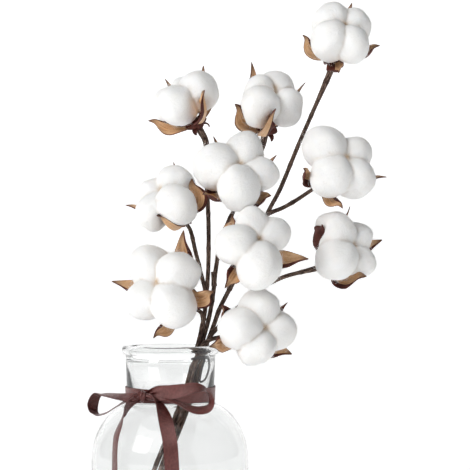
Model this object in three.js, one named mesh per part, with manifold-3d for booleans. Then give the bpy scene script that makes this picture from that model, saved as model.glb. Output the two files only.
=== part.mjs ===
// A bunch of dried cotton stems in a clear glass bottle vase with a satin bow.
//
// Units are millimetres and +Z is up. The origin is the centre of the vase's underside, and the
// bow is on the -Y side. Ten open cotton bolls stand at the ends of five branching twigs. Every
// boll is two solids: the white lint in four locks, and the brown burr, which is a cup with four
// pointed valves between the locks. The lint is cut back from its burr by a small gap.

import * as THREE from 'three';
import { mergeVertices } from 'three/addons/utils/BufferGeometryUtils.js';
import Module from 'manifold-3d';

const wasm = await Module();
wasm.setup();

// ---------------------------------------------------------------------------------------------
// Driving dimensions
// ---------------------------------------------------------------------------------------------

const GAP = 0.3; // clearance between two solids that touch in the real thing

// Vase
const VASE_HEIGHT = 195;
const BODY_RADIUS = 66;
const BASE_ROUNDING = 12; // radius of the bottom edge
const SHOULDER_FOOT = 100; // height where the straight body ends
const SHOULDER_RADII = [44, 50]; // across and up, of the oval that the shoulder follows
const NECK_FOOT = 147; // height where the shoulder meets the neck
const NECK_FOOT_RADIUS = 36.5;
const NECK_TOP_RADIUS = 38;
const RIM_RADIUS = 41.2;
const RIM_HEIGHT = 7.6;
const GLASS_WALL = 2.8;
const GLASS_FLOOR = 6;
const VASE_SEGMENTS = 32;

// Ribbon
const RIBBON_WIDTH = 11.5;
const RIBBON_THICKNESS = 0.8;
const RIBBON_HEIGHT = 155; // middle of the band round the neck
const BAND_SEGMENTS = 32;
const KNOT_CENTRE = [-21.6, -37.4, 155.5];
const KNOT_SIZE = [10, 12, 11];
const KNOT_TILT = -20; // degrees, in the plane of the bow

// Twigs and wire
const TWIG_RADIUS = 1.9;
const TWIG_THINNING = 0.12; // share of its radius that a twig loses from its foot to its top
const LIMB_RADIUS = 1.75;
const TWIG_STEP = 11; // length of one ring-to-ring stretch
const TWIG_SIDES = 6;
const STALK_RADIUS = 3.1; // the thick end just under a boll
const STALK_SHARE = 0.1; // share of a twig's length over which it swells into the stalk
const STALK_RUN = 12; // straight stretch under a boll
const TIE_CENTRE = [25.4, -6, 190];
const TIE_SPACING = 3.75; // from the bundle's middle to each twig's middle at the tie
const BUNDLE_TWIST = 12; // degrees that the bundle turns from one place in its list to the next
const WIRE_RADIUS = 0.8;
const WIRE_STEP = 4;
const WIRE_SIDES = 5;
const WIRE_TURNS = 2;
const WIRE_PITCH = 2.2;

// One boll of size 1
const LOCK_RADII = [15.8, 18]; // sideways and along the boll's axis
const LOCK_OVERLAP = 1.5; // how far a lock runs past the boll's axis
const CORE_RADIUS = 11;
const LINT_SEGMENTS = [20, 10]; // round the boll's axis and along it
const LINT_GAP = 1.1; // added all round the burr where the lint is cut back from it
const CUP_BOTTOM = -27; // along the boll's axis, from the middle of the lint
const CUP_RADIUS = 9.5;
const VALVE_WIDTH = 17;
const VALVE_THICKNESS = 1.3;
const VALVE_HOLLOW = 0.16; // depth of a valve's boat shape, as a share of its width
const VALVE_STATIONS = 6;
const TWIST_RUN = 0.6; // share of a valve's length over which it takes its twist

// The bolls. `at` is the middle of the lint, `up` points from the twig to the open face and `turn`
// is the angle of the first lock round that axis.
const BOLLS = [
  { at: [146.5, 5, 461.5], up: [0.17, -0.78, 0.6], turn: 40, size: 1.07 },
  { at: [86, 20, 403], up: [0.18, -0.55, 0.82], turn: -20, size: 1.06 },
  { at: [10, 15, 406.5], up: [-0.46, -0.3, 0.84], turn: -15, size: 1.05 },
  { at: [143, -10, 348], up: [0.4, -0.84, 0.36], turn: 43, size: 1.16 },
  { at: [-2, -20, 317.5], up: [-0.46, -0.64, 0.62], turn: -35, size: 1 },
  { at: [58, -32, 338], up: [0.05, -0.84, 0.54], turn: -8, size: 1.07 },
  { at: [149, 0, 275.5], up: [0.52, -0.78, 0.34], turn: 47, size: 1.06 },
  { at: [70.5, -58, 277.5], up: [0.28, -0.87, 0.4], turn: 10, size: 1 },
  { at: [-4, -42, 243.5], up: [-0.36, -0.87, 0.32], turn: 30, size: 1.1 },
  { at: [72.5, -46, 209], up: [0.5, -0.82, 0.2], turn: -8, size: 1.02 },
];

// The four locks of each boll: degrees that a lock stands off its quarter, how far it reaches from
// the boll's axis, its size and its height along the axis.
const LOCKS = [
  [[9, 31.4, 0.92, 0], [-10, 31.8, 0.98, 0], [6, 31.3, 0.98, 1], [-12, 29.5, 0.9, 1]],
  [[25, 26.8, 0.95, 0], [11, 32.6, 1, 6], [0, 25.8, 0.95, 6], [-21, 32.3, 1, 2]],
  [[0, 31.6, 1, 1], [4, 31, 0.96, 0], [0, 27.3, 0.95, -1], [-4, 32.1, 1, 0]],
  [[0, 30.5, 0.9, -1], [5, 33.1, 1, -1], [14, 31, 0.95, 0], [6, 30.7, 0.93, 0]],
  [[-20, 35.4, 1.05, 0], [4, 31.8, 1, 1], [0, 30.8, 0.95, 0], [-12, 32.8, 0.95, -1]],
  [[8, 31.7, 0.78, -1], [-3, 37.1, 1, 0], [-9, 37.5, 1.12, 0], [6, 34, 1.05, 1]],
  [[6, 30.9, 0.86, 0], [-1, 35.2, 1.07, 0], [-1, 34.1, 1.03, 1], [10, 28.4, 0.86, -1]],
  [[28, 34, 0.9, 0], [-1, 32.5, 0.93, 0], [2, 33.6, 1.03, 1], [-1, 38.3, 1.17, 0]],
  [[5, 31.6, 1, 1], [1, 39.4, 1.05, -1], [3, 31.2, 0.95, 0], [1, 35.4, 1.02, 0]],
  [[14, 33.6, 1.03, 0], [3, 34.3, 1.07, -1], [8, 34.9, 1.05, 0], [-2, 29.1, 0.98, 1]],
];

// The four valves of each boll: degrees off the furrow, distance of the tip from the axis, height
// of the tip along the axis, twist in radians and width.
const VALVES = [
  [[-10, 40, 4, -0.5, 0.75], [22, 35, 3, -1.3, 0.6], [1, 38, -8, 0.7, 0.8], [-8, 32, 0, 0.2, 1.15]],
  [[21, 40, 13, -0.4, 0.8], [4, 41, 20, -0.2, 0.8], [0, 34, 2, -1.2, 1.05], [-24, 34, 12, 1, 1.15]],
  [[24, 42, 14, 0.3, 0.8], [-12, 29, 20, 0, 0.6], [-8, 35, 0, -0.9, 0.85], [2, 43, 4, 1.05, 1.4]],
  [[34, 29, 6, 0.1, 0.5], [24, 35, 4, -1, 0.7], [1, 38, 2, 0.7, 0.6], [-6, 37, 4, -0.2, 0.7]],
  [[1, 27, 6, 1.4, 1], [-32, 31, 12, -0.1, 0.6], [-28, 44, 0, 0.2, 0.8], [-18, 28, 8, -0.5, 1.2]],
  [[-14, 31, 8, 0, 0.6], [-3, 37, 6, 0.2, 0.6], [4, 37, 2, 0.3, 1.1], [10, 33, 1, 0.7, 1]],
  [[-6, 39, 4, 0.6, 0.6], [-22, 32, 9, 0.6, 1.15], [22, 27, 10, 1, 1.1], [24, 40, 2, 0, 0.9]],
  [[-7, 26, 4, 0.2, 0.6], [-10, 29, 5, -0.9, 0.8], [4, 47, -3, 0, 0.8], [28, 46, -2, 0.2, 1]],
  [[-8, 45, 4, 0.3, 1], [1, 44, 0, 0.1, 0.8], [5, 39, 0, -1.2, 0.8], [2, 43, 3, 1.1, 0.9]],
  [[7, 36, 4, 1.2, 0.8], [30, 39, 5, -0.1, 1], [-15, 47, 0, -0.2, 0.9], [28, 37, -2, 0.2, 1]],
];

// ---------------------------------------------------------------------------------------------
// Helpers
// ---------------------------------------------------------------------------------------------

const vec = (point) => new THREE.Vector3(...point);

// A closed body from rings of equally many points, with a flat fan over each end. On the sides in
// `back`, four-cornered faces are split along their other diagonal, so that both faces of a thin
// twisted body are split alike and don't cross.
function skin(rings, back = []) {
  const sides = rings[0].length;
  const positions = rings.flat().flatMap((point) => point.toArray());
  const faces = [];
  for (let ring = 0; ring + 1 < rings.length; ring += 1) {
    for (let side = 0; side < sides; side += 1) {
      const a = ring * sides + side;
      const b = ring * sides + (side + 1) % sides;
      if (back.includes(side)) {
        faces.push(a, b, a + sides, b, b + sides, a + sides);
      } else {
        faces.push(a, b, b + sides, a, b + sides, a + sides);
      }
    }
  }
  const last = (rings.length - 1) * sides;
  for (let side = 1; side + 1 < sides; side += 1) {
    faces.push(0, side + 1, side);
    faces.push(last, last + side, last + side + 1);
  }
  const geometry = new THREE.BufferGeometry();
  geometry.setAttribute('position', new THREE.Float32BufferAttribute(positions, 3));
  geometry.setIndex(faces);
  return geometry;
}

// A body of revolution or a sphere with its seam and poles merged.
function merged(geometry) {
  geometry.deleteAttribute('normal');
  geometry.deleteAttribute('uv');
  return mergeVertices(geometry, 1e-4);
}

function toSolid(geometry) {
  const mesh = new wasm.Mesh({
    numProp: 3,
    vertProperties: new Float32Array(geometry.attributes.position.array),
    triVerts: new Uint32Array(geometry.index.array),
  });
  return new wasm.Manifold(mesh);
}

function toGeometry(solid) {
  const mesh = solid.getMesh();
  const geometry = new THREE.BufferGeometry();
  geometry.setAttribute('position', new THREE.Float32BufferAttribute(mesh.vertProperties, 3));
  geometry.setIndex([...mesh.triVerts]);
  return geometry;
}

const join = (solids) => solids.reduce((whole, solid) => whole.add(solid));

// The largest body of a solid that a cut has left in several pieces.
function largest(solid) {
  const pieces = solid.decompose();
  pieces.sort((one, other) => other.volume() - one.volume());
  return pieces[0];
}

// Rings of a round bar along a smooth path, with a radius that follows the share of its length.
function barRings(path, radiusAt, step, sides) {
  const curve = new THREE.CatmullRomCurve3(path.map(vec), false, 'centripetal');
  const count = Math.max(2, Math.round(curve.getLength() / step));
  const frames = curve.computeFrenetFrames(count, false);
  const rings = [];
  for (let index = 0; index <= count; index += 1) {
    const share = index / count;
    const centre = curve.getPointAt(share);
    const radius = radiusAt(share);
    const ring = [];
    for (let side = 0; side < sides; side += 1) {
      const angle = (2 * Math.PI * side) / sides;
      ring.push(centre.clone()
        .addScaledVector(frames.normals[index], radius * Math.cos(angle))
        .addScaledVector(frames.binormals[index], radius * Math.sin(angle)));
    }
    rings.push(ring);
  }
  return rings;
}

const group = new THREE.Group();

function addPart(name, geometry, colour, roughness, metalness, more = {}) {
  const material = new THREE.MeshStandardMaterial({ color: colour, roughness, metalness, ...more });
  const mesh = new THREE.Mesh(geometry, material);
  mesh.name = name;
  group.add(mesh);
}

// ---------------------------------------------------------------------------------------------
// Vase
// ---------------------------------------------------------------------------------------------

// Points along an arc of an oval, as distances from the axis and heights.
function arc([centreR, centreZ], [radiusR, radiusZ], fromDegrees, toDegrees, steps) {
  const points = [];
  for (let step = 0; step <= steps; step += 1) {
    const angle = THREE.MathUtils.degToRad(fromDegrees + ((toDegrees - fromDegrees) * step) / steps);
    points.push([centreR + radiusR * Math.cos(angle), centreZ + radiusZ * Math.sin(angle)]);
  }
  return points;
}

// The shoulder's arc from the straight body up to where it meets a neck of a given radius.
function shoulder(inset, neck, steps) {
  const centre = [BODY_RADIUS - SHOULDER_RADII[0], SHOULDER_FOOT];
  const radii = SHOULDER_RADII.map((radius) => radius - inset);
  const end = THREE.MathUtils.radToDeg(Math.acos((neck - centre[0]) / radii[0]));
  return arc(centre, radii, 0, end, steps);
}

function buildVase() {
  const rimFoot = VASE_HEIGHT - RIM_HEIGHT;
  const rimCentre = [NECK_TOP_RADIUS, VASE_HEIGHT - RIM_HEIGHT / 2];
  const rimRadii = [RIM_RADIUS - NECK_TOP_RADIUS, RIM_HEIGHT / 2];
  const cornerRadius = BODY_RADIUS - BASE_ROUNDING;
  const innerCorner = BASE_ROUNDING - GLASS_WALL;
  const outside = [
    [0, 0],
    ...arc([cornerRadius, BASE_ROUNDING], [BASE_ROUNDING, BASE_ROUNDING], -90, 0, 3),
    ...shoulder(0, NECK_FOOT_RADIUS, 6),
    [NECK_TOP_RADIUS, rimFoot],
    ...arc(rimCentre, rimRadii, -60, 90, 4),
  ];
  const inside = [
    [NECK_TOP_RADIUS - GLASS_WALL, rimFoot + RIM_HEIGHT * 0.75],
    [NECK_TOP_RADIUS - GLASS_WALL, rimFoot],
    ...shoulder(GLASS_WALL, NECK_FOOT_RADIUS - GLASS_WALL, 5).reverse(),
    ...arc([cornerRadius, GLASS_FLOOR + innerCorner], [innerCorner, innerCorner], 0, -90, 3),
    [0, GLASS_FLOOR],
  ];
  const profile = [...outside, ...inside].map(([radius, height]) => new THREE.Vector2(radius, height));
  const lathe = new THREE.LatheGeometry(profile, VASE_SEGMENTS);
  lathe.rotateX(Math.PI / 2);
  addPart('vase', merged(lathe), 0xeef3f1, 0.04, 0, { transparent: true, opacity: 0.25 });
}

// Outside radius of the neck at a height, which widens slightly from its foot to the rim.
function neckRadius(height) {
  const share = (height - NECK_FOOT) / (VASE_HEIGHT - RIM_HEIGHT - NECK_FOOT);
  return NECK_FOOT_RADIUS + share * (NECK_TOP_RADIUS - NECK_FOOT_RADIUS);
}

// ---------------------------------------------------------------------------------------------
// Ribbon
// ---------------------------------------------------------------------------------------------

// Each row of a strip is a point on its middle line, the direction across it and the share of the
// ribbon's width that it has there.
const LEFT_LOOP = [
  { at: [-22.9, -38, 155.1], across: [0, 0.1, 1], share: 0.5 },
  { at: [-32.4, -40, 154.9], across: [0, 0.85, 0.52], share: 1 },
  { at: [-43.5, -41.5, 156.3], across: [0, 0.95, 0.29], share: 1 },
  { at: [-51.5, -42, 157.5], across: [0.1, 1, 0.12], share: 1 },
  { at: [-56.9, -41, 157.1], across: [0.42, 0.85, -0.3], share: 1 },
  { at: [-60.4, -40, 150.3], across: [0.69, 0.72, 0], share: 1 },
  { at: [-59.9, -40.5, 144.2], across: [0.46, 0.88, 0.12], share: 1 },
  { at: [-56.7, -41.5, 140.9], across: [0, 1, 0.05], share: 1 },
  { at: [-50.1, -43, 142], across: [0, 1, 0.02], share: 1 },
  { at: [-41.3, -43.5, 147.3], across: [0, 1, 0.02], share: 1 },
  { at: [-33.8, -42, 151.4], across: [0, 1, 0.1], share: 0.9 },
  { at: [-23.1, -38.5, 154.9], across: [0, 0.3, 1], share: 0.5 },
];
const RIGHT_LOOP = [
  { at: [-17.5, -38.5, 155.8], across: [-0.3, 0.1, 1], share: 0.45 },
  { at: [-7.8, -43.5, 159.1], across: [-0.25, 0.25, 0.9], share: 0.9 },
  { at: [1.7, -46, 159.3], across: [0, 0.15, 1], share: 1 },
  { at: [12.3, -47.5, 160.7], across: [0, 0.45, 0.9], share: 1 },
  { at: [22.9, -48.5, 162.7], across: [-0.1, 0.75, 0.65], share: 1 },
  { at: [31.6, -50, 160.1], across: [-0.45, 0.85, 0.3], share: 1 },
  { at: [35.4, -52.5, 153], across: [-0.35, 0.93, 0.1], share: 1 },
  { at: [32.4, -55, 147.6], across: [-0.3, 0.85, 0.4], share: 1 },
  { at: [25.7, -56, 146.2], across: [0, 0.88, 0.45], share: 1 },
  { at: [17.6, -54.5, 148.2], across: [-0.12, 0.92, 0.35], share: 1 },
  { at: [10.7, -52, 151.2], across: [-0.1, 0.97, 0.22], share: 1 },
  { at: [2.5, -48, 153.6], across: [-0.05, 0.97, 0.2], share: 0.9 },
  { at: [-7.1, -43.5, 154.7], across: [0, 0.8, 0.5], share: 0.7 },
  { at: [-16.2, -39, 155.6], across: [0, 0.4, 1], share: 0.45 },
];
const LEFT_TAIL = [
  { at: [-21.1, -40, 155.3], across: [0.2, 0.3, -0.9], share: 0.45 },
  { at: [-27.7, -43.5, 153.1], across: [0.35, 0.72, -0.6], share: 0.9 },
  { at: [-33, -46.5, 146.3], across: [0.28, 0.93, -0.15], share: 1 },
  { at: [-34.8, -50.5, 141.6], across: [0, 1, 0.02], share: 1 },
  { at: [-37.4, -54, 133.9], across: [-0.32, 0.94, 0.05], share: 1 },
  { at: [-39.8, -57.5, 125.2], across: [-0.42, 0.9, 0.05], share: 1 },
  { at: [-40.8, -58.5, 113.2], across: [-0.42, 0.9, 0], share: 1 },
  { at: [-40.8, -58.5, 101.1], across: [-0.45, 0.89, 0], share: 1 },
  { at: [-41.5, -58.5, 76], across: [-0.5, 0.85, 0], share: 1 },
  { at: [-42.3, -58, 56], across: [-0.6, 0.75, 0], share: 1 },
];
const RIGHT_TAIL = [
  { at: [-16.7, -41, 156.3], across: [0.3, 0.3, -0.85], share: 0.45 },
  { at: [-10.2, -44.5, 154.2], across: [0.45, 0.75, -0.4], share: 0.7 },
  { at: [-6.2, -47.5, 150.4], across: [0.35, 0.93, 0.1], share: 0.9 },
  { at: [-2.3, -53.5, 142.4], across: [0.8, 0.6, 0.1], share: 1 },
  { at: [1.2, -61, 131.7], across: [1, 0.1, 0.2], share: 1 },
  { at: [3.8, -67, 120.4], across: [1, 0.06, 0.12], share: 1 },
  { at: [5.2, -69.2, 102.8], across: [1, 0.1, 0.06], share: 1 },
  { at: [7.5, -69.5, 66], across: [1, 0.1, -0.05], share: 1 },
  { at: [6, -69.5, 44], across: [1, 0.1, -0.05], share: 1 },
];

// A flat strip along a row list. Its middle line, direction across and width are all smooth.
function strip(rows, steps) {
  const middle = new THREE.CatmullRomCurve3(rows.map((row) => vec(row.at)), false, 'centripetal');
  const across = new THREE.CatmullRomCurve3(rows.map((row) => vec(row.across).normalize()));
  const widths = new THREE.CatmullRomCurve3(rows.map((row) => new THREE.Vector3(row.share, 0, 0)));
  const rings = [];
  for (let step = 0; step <= steps; step += 1) {
    const share = step / steps;
    const centre = middle.getPoint(share);
    const along = middle.getTangent(share);
    const side = across.getPoint(share);
    side.addScaledVector(along, -side.dot(along)).normalize();
    const face = new THREE.Vector3().crossVectors(along, side);
    const half = (RIBBON_WIDTH * widths.getPoint(share).x) / 2;
    const ring = [[-1, -1], [1, -1], [1, 1], [-1, 1]].map(([u, v]) => centre.clone()
      .addScaledVector(side, u * half)
      .addScaledVector(face, (v * RIBBON_THICKNESS) / 2));
    rings.push(ring);
  }
  return toSolid(skin(rings, [2, 3]));
}

function buildRibbon() {
  const low = RIBBON_HEIGHT - RIBBON_WIDTH / 2;
  const high = RIBBON_HEIGHT + RIBBON_WIDTH / 2;
  const bandProfile = [
    [neckRadius(low) + GAP, low],
    [neckRadius(low) + GAP + RIBBON_THICKNESS, low],
    [neckRadius(high) + GAP + RIBBON_THICKNESS, high],
    [neckRadius(high) + GAP, high],
    [neckRadius(low) + GAP, low],
  ].map(([radius, height]) => new THREE.Vector2(radius, height));
  const band = new THREE.LatheGeometry(bandProfile, BAND_SEGMENTS);
  band.rotateX(Math.PI / 2);
  const knot = new THREE.IcosahedronGeometry(0.5, 2);
  knot.scale(...KNOT_SIZE);
  knot.rotateY(THREE.MathUtils.degToRad(KNOT_TILT));
  knot.translate(...KNOT_CENTRE);
  const whole = join([
    toSolid(merged(band)),
    toSolid(merged(knot)),
    strip(LEFT_LOOP, 26),
    strip(RIGHT_LOOP, 28),
    strip(LEFT_TAIL, 15),
    strip(RIGHT_TAIL, 14),
  ]);
  addPart('ribbon', toGeometry(whole), 0x6b3a38, 0.4, 0);
}

// ---------------------------------------------------------------------------------------------
// Bolls
// ---------------------------------------------------------------------------------------------

// Turns boll coordinates (x right, y towards the open face's top, z out of the face) into place.
function bollMatrix({ at, up, turn, size }) {
  const axis = vec(up).normalize();
  const right = new THREE.Vector3(1, 0, 0).addScaledVector(axis, -axis.x).normalize();
  const top = new THREE.Vector3().crossVectors(axis, right);
  const matrix = new THREE.Matrix4().makeBasis(right, top, axis);
  matrix.multiply(new THREE.Matrix4().makeRotationZ(THREE.MathUtils.degToRad(turn)));
  matrix.scale(new THREE.Vector3(size, size, size));
  return matrix.setPosition(...at);
}

// Where a twig ends under a boll, `below` millimetres past the bottom of its cup.
function footOf(boll, below) {
  const axis = vec(boll.up).normalize();
  return vec(boll.at).addScaledVector(axis, CUP_BOTTOM * boll.size - below).toArray();
}

// Distance out from the axis and height along it, from the cup to the last place that is the same
// on every valve.
const VALVE_ROOT = [[3, -23], [12, -22], [20, -18.5]];
// Share of the way from there to the tip, and how far the valve bulges outwards.
const VALVE_BELLY = [[0.27, 1.8], [0.52, 1], [0.78, -1], [1, 0]];
const VALVE_TAPER = [0.55, 0.75, 0.98, 1, 0.8, 0.36, 0.05];

function valvePath(out, rise) {
  const [rootOut, rootHeight] = VALVE_ROOT[VALVE_ROOT.length - 1];
  const way = new THREE.Vector2(out - rootOut, rise - rootHeight);
  const bulge = new THREE.Vector2(way.y, -way.x).normalize();
  const belly = VALVE_BELLY.map(([share, lift]) => [
    rootOut + way.x * share + bulge.x * lift,
    rootHeight + way.y * share + bulge.y * lift,
  ]);
  return [...VALVE_ROOT, ...belly].map(([across, height]) => new THREE.Vector3(across, 0, height));
}

// One valve: a pointed boat whose hollow faces the lint, with a low rib down its middle.
function valve([swing, out, rise, twist, width], quarter, grow) {
  const path = new THREE.CatmullRomCurve3(valvePath(out, rise), false, 'centripetal');
  const rings = [];
  for (let index = 0; index <= VALVE_STATIONS; index += 1) {
    const share = index / VALVE_STATIONS;
    const along = path.getTangent(share);
    const centre = path.getPoint(share).addScaledVector(along, index === VALVE_STATIONS ? grow : 0);
    const outward = new THREE.Vector3(along.z, 0, -along.x);
    const sideways = new THREE.Vector3(0, 1, 0);
    const turning = twist * Math.min(share / TWIST_RUN, 1);
    sideways.applyAxisAngle(along, turning);
    outward.applyAxisAngle(along, turning);
    const position = share * (VALVE_TAPER.length - 1);
    const before = Math.min(Math.floor(position), VALVE_TAPER.length - 2);
    const taper = THREE.MathUtils.lerp(VALVE_TAPER[before], VALVE_TAPER[before + 1], position - before);
    const half = (VALVE_WIDTH * width * taper) / 2 + grow;
    const thick = (VALVE_THICKNESS * (0.6 + 0.4 * taper)) / 2;
    const edge = thick * 0.45 + grow;
    const hollow = VALVE_HOLLOW * VALVE_WIDTH * width * taper;
    // Across, and outwards from the middle line: the rib inside, an edge, the ridge outside and
    // the other edge.
    const section = [
      [0, -thick * 1.3 - grow],
      [-half, -hollow - edge],
      [-half, -hollow + edge],
      [0, thick + grow],
      [half, -hollow + edge],
      [half, -hollow - edge],
    ];
    rings.push(section.map(([side, out]) => centre.clone()
      .addScaledVector(sideways, side)
      .addScaledVector(outward, out)));
  }
  const geometry = skin(rings, [0, 5]);
  geometry.rotateZ(THREE.MathUtils.degToRad(45 + 90 * quarter + swing));
  return toSolid(geometry);
}

function cup(grow) {
  const profile = [
    [0, CUP_BOTTOM - grow],
    [3.6 + grow, CUP_BOTTOM - grow],
    [5.5 + grow, CUP_BOTTOM + 2],
    [CUP_RADIUS + grow, CUP_BOTTOM + 5],
    [CUP_RADIUS - 2.5 + grow, -17.5 + grow],
    [0, -19.5 + grow],
  ].map(([radius, height]) => new THREE.Vector2(radius, height));
  const lathe = new THREE.LatheGeometry(profile, 8);
  lathe.rotateX(Math.PI / 2);
  return toSolid(merged(lathe));
}

function burrBody(valves, grow) {
  return join([cup(grow), ...valves.map((row, quarter) => valve(row, quarter, grow))]);
}

// How far a ray from the lint's middle runs before it leaves an ellipsoid, or 0 if it misses it.
function rayLength(ray, middle, directions, radii) {
  const [step, start] = [ray, middle].map((v) => new THREE.Vector3(
    ...directions.map((direction, index) => v.dot(direction) / radii[index]),
  ));
  const a = step.lengthSq();
  const b = step.dot(start);
  const root = b * b - a * (start.lengthSq() - 1);
  return root > 0 ? (b + Math.sqrt(root)) / a : 0;
}

// Four locks round the axis as one closed skin: a ball whose points are raised to the outermost
// lock in their direction, so that the furrows between the locks run into each other on top.
function lintBody(rows) {
  const up = new THREE.Vector3(0, 0, 1);
  const locks = rows.map(([turn, reach, size, lift], quarter) => {
    const angle = THREE.MathUtils.degToRad(90 * quarter + turn);
    const out = new THREE.Vector3(1, 0, 0).applyAxisAngle(up, angle);
    const side = new THREE.Vector3().crossVectors(up, out);
    const half = (reach + LOCK_OVERLAP) / 2;
    const middle = out.clone().multiplyScalar(reach - half).addScaledVector(up, lift);
    return { middle, directions: [out, side, up], radii: [half, ...LOCK_RADII.map((r) => r * size)] };
  });
  const ball = new THREE.SphereGeometry(1, ...LINT_SEGMENTS);
  ball.rotateX(Math.PI / 2);
  const geometry = merged(ball);
  const position = geometry.attributes.position;
  for (let index = 0; index < position.count; index += 1) {
    const ray = new THREE.Vector3().fromBufferAttribute(position, index).normalize();
    const reaches = locks.map(({ middle, directions, radii }) => rayLength(ray, middle, directions, radii));
    ray.multiplyScalar(Math.max(CORE_RADIUS, ...reaches));
    position.setXYZ(index, ray.x, ray.y, ray.z);
  }
  return toSolid(geometry);
}

function buildBoll(number) {
  const place = bollMatrix(BOLLS[number - 1]).toArray();
  const valves = VALVES[number - 1];
  const burr = burrBody(valves, 0).transform(place);
  const whole = lintBody(LOCKS[number - 1]);
  const lint = largest(whole.subtract(burrBody(valves, LINT_GAP)).transform(place));
  const label = String(number).padStart(2, '0');
  addPart(`cotton_${label}`, toGeometry(lint), 0xf6f4ef, 0.95, 0);
  addPart(`burr_${label}`, toGeometry(burr), 0x7a4a2c, 0.8, 0);
}

// ---------------------------------------------------------------------------------------------
// Twigs
// ---------------------------------------------------------------------------------------------

// A place in the tied bundle: five twigs stand in a ring round its middle, which leans over to the
// vase's floor. `turn` is the twig's place round the ring in degrees.
const BUNDLE = [
  { middle: [-36, 12, GLASS_FLOOR + 3], spread: 2.6 },
  { middle: [-10, 4, 90], spread: 1.25 },
  { middle: [10, -2.5, 141], spread: 1.1 },
  { middle: [19, -4.5, 170], spread: 1.05 },
  { middle: TIE_CENTRE, spread: 1 },
];

function bundlePath(turn) {
  return BUNDLE.map(({ middle, spread }, index) => {
    const angle = THREE.MathUtils.degToRad(turn + BUNDLE_TWIST * (BUNDLE.length - 1 - index));
    const radius = TIE_SPACING * spread;
    return [middle[0] + radius * Math.cos(angle), middle[1] + radius * Math.sin(angle), middle[2]];
  });
}

// A round twig along its path. It thins slightly upwards, and swells into a stalk under a boll.
function twig(path, radius, stalk) {
  const radiusAt = (share) => {
    const plain = radius * (1 + TWIG_THINNING * (0.5 - share));
    const swell = Math.max(0, 1 - (1 - share) / STALK_SHARE);
    return Math.max(plain, plain + (stalk - plain) * swell);
  };
  return toSolid(skin(barRings(path, radiusAt, TWIG_STEP, TWIG_SIDES)));
}

// The last stretch of a twig, which comes in straight under its boll.
function arrival(number) {
  const boll = BOLLS[number - 1];
  return [footOf(boll, STALK_RUN), footOf(boll, GAP)];
}

const bollStalk = (number) => STALK_RADIUS * BOLLS[number - 1].size;

// A limb with no boll is the stub of a branch that was cut off.
const TWIGS = [
  {
    name: 'stem_left',
    turn: 180,
    trunk: [[28.3, -5, 219], [30.5, -2, 242], [31.8, 0, 262], [31.5, 3, 309], [29.5, 7, 340]],
    boll: 3,
    limbs: [
      { boll: 5, path: [[30.4, -2.5, 238], [26, -3.5, 254], [21, -2, 274]] },
      { boll: 9, path: [[28.4, -5, 216], [25.5, -7.5, 223]] },
    ],
  },
  {
    name: 'stem_middle',
    turn: 108,
    trunk: [[32.6, -1.3, 219], [36.3, 1.2, 242], [38, 3, 259], [43, 8, 284], [58, 18, 321], [70, 29, 350]],
    boll: 2,
    limbs: [
      { boll: 6, path: [[42, 7, 280], [47, 4, 296]] },
      { boll: null, path: [[36.8, 1.2, 245], [35.6, -1, 257]] },
    ],
  },
  {
    name: 'stem_tall',
    turn: 36,
    trunk: [
      [36.5, -3, 212],
      [41.5, -3, 226],
      [49, -2, 241],
      [71, 4, 284],
      [84, 8, 311],
      [93, 12, 328],
      [110.5, 18, 370],
    ],
    boll: 1,
    limbs: [
      { boll: 4, path: [[82, 7.5, 307], [97, 10, 313]] },
      { boll: 8, path: [[49.5, -2, 242], [56, -12, 253]] },
    ],
  },
  {
    name: 'stem_right',
    turn: -36,
    trunk: [[33.2, -9, 202], [40, -9, 210], [55, -7, 225.5], [75, -3, 242], [94, 4, 252]],
    boll: 7,
    limbs: [],
  },
  {
    name: 'stem_short',
    turn: -108,
    trunk: [[28.5, -13, 197], [38, -15, 201.5]],
    boll: 10,
    limbs: [],
  },
];

function buildTwigs() {
  for (const { name, turn, trunk, boll, limbs } of TWIGS) {
    const path = [...bundlePath(turn), ...trunk, ...arrival(boll)];
    const pieces = [twig(path, TWIG_RADIUS, bollStalk(boll))];
    for (const limb of limbs) {
      const end = limb.boll ? arrival(limb.boll) : [];
      const stalk = limb.boll ? bollStalk(limb.boll) : 0;
      pieces.push(twig([...limb.path, ...end], LIMB_RADIUS, stalk));
    }
    addPart(name, toGeometry(join(pieces)), 0x4b3a30, 0.85, 0);
  }
}

// ---------------------------------------------------------------------------------------------
// Wire tie: two turns round the bundle, a loose loop beside it and two short ends
// ---------------------------------------------------------------------------------------------

function buildWire() {
  const radius = TIE_SPACING + TWIG_RADIUS + WIRE_RADIUS + 3 * GAP;
  const path = [];
  const steps = 12 * WIRE_TURNS;
  for (let step = 0; step <= steps; step += 1) {
    const angle = (2 * Math.PI * WIRE_TURNS * step) / steps;
    path.push([
      TIE_CENTRE[0] + radius * Math.cos(angle),
      TIE_CENTRE[1] + radius * Math.sin(angle),
      TIE_CENTRE[2] + WIRE_PITCH * (WIRE_TURNS / 2 - (WIRE_TURNS * step) / steps),
    ]);
  }
  const coil = skin(barRings(path, () => WIRE_RADIUS, WIRE_STEP, WIRE_SIDES));
  const loop = skin(barRings([
    [31.5, -9, 188],
    [31.9, -10, 183],
    [31.5, -11, 176],
    [28.5, -12, 168.5],
    [25, -12.5, 167.5],
    [25.8, -12.8, 175],
    [28, -12.8, 183],
    [29, -11.4, 189.4],
  ], () => WIRE_RADIUS, WIRE_STEP, WIRE_SIDES));
  addPart('wire_tie', toGeometry(join([toSolid(coil), toSolid(loop)])), 0x2c2422, 0.6, 0.3);
}

buildVase();
buildRibbon();
BOLLS.forEach((boll, index) => buildBoll(index + 1));
buildTwigs();
buildWire();

export default group;
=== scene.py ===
"""A bunch of dried cotton stems in a glass bottle vase with a satin bow."""

import math

import bpy
import numpy as np
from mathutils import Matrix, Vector, noise
from mathutils.bvhtree import BVHTree


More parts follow.
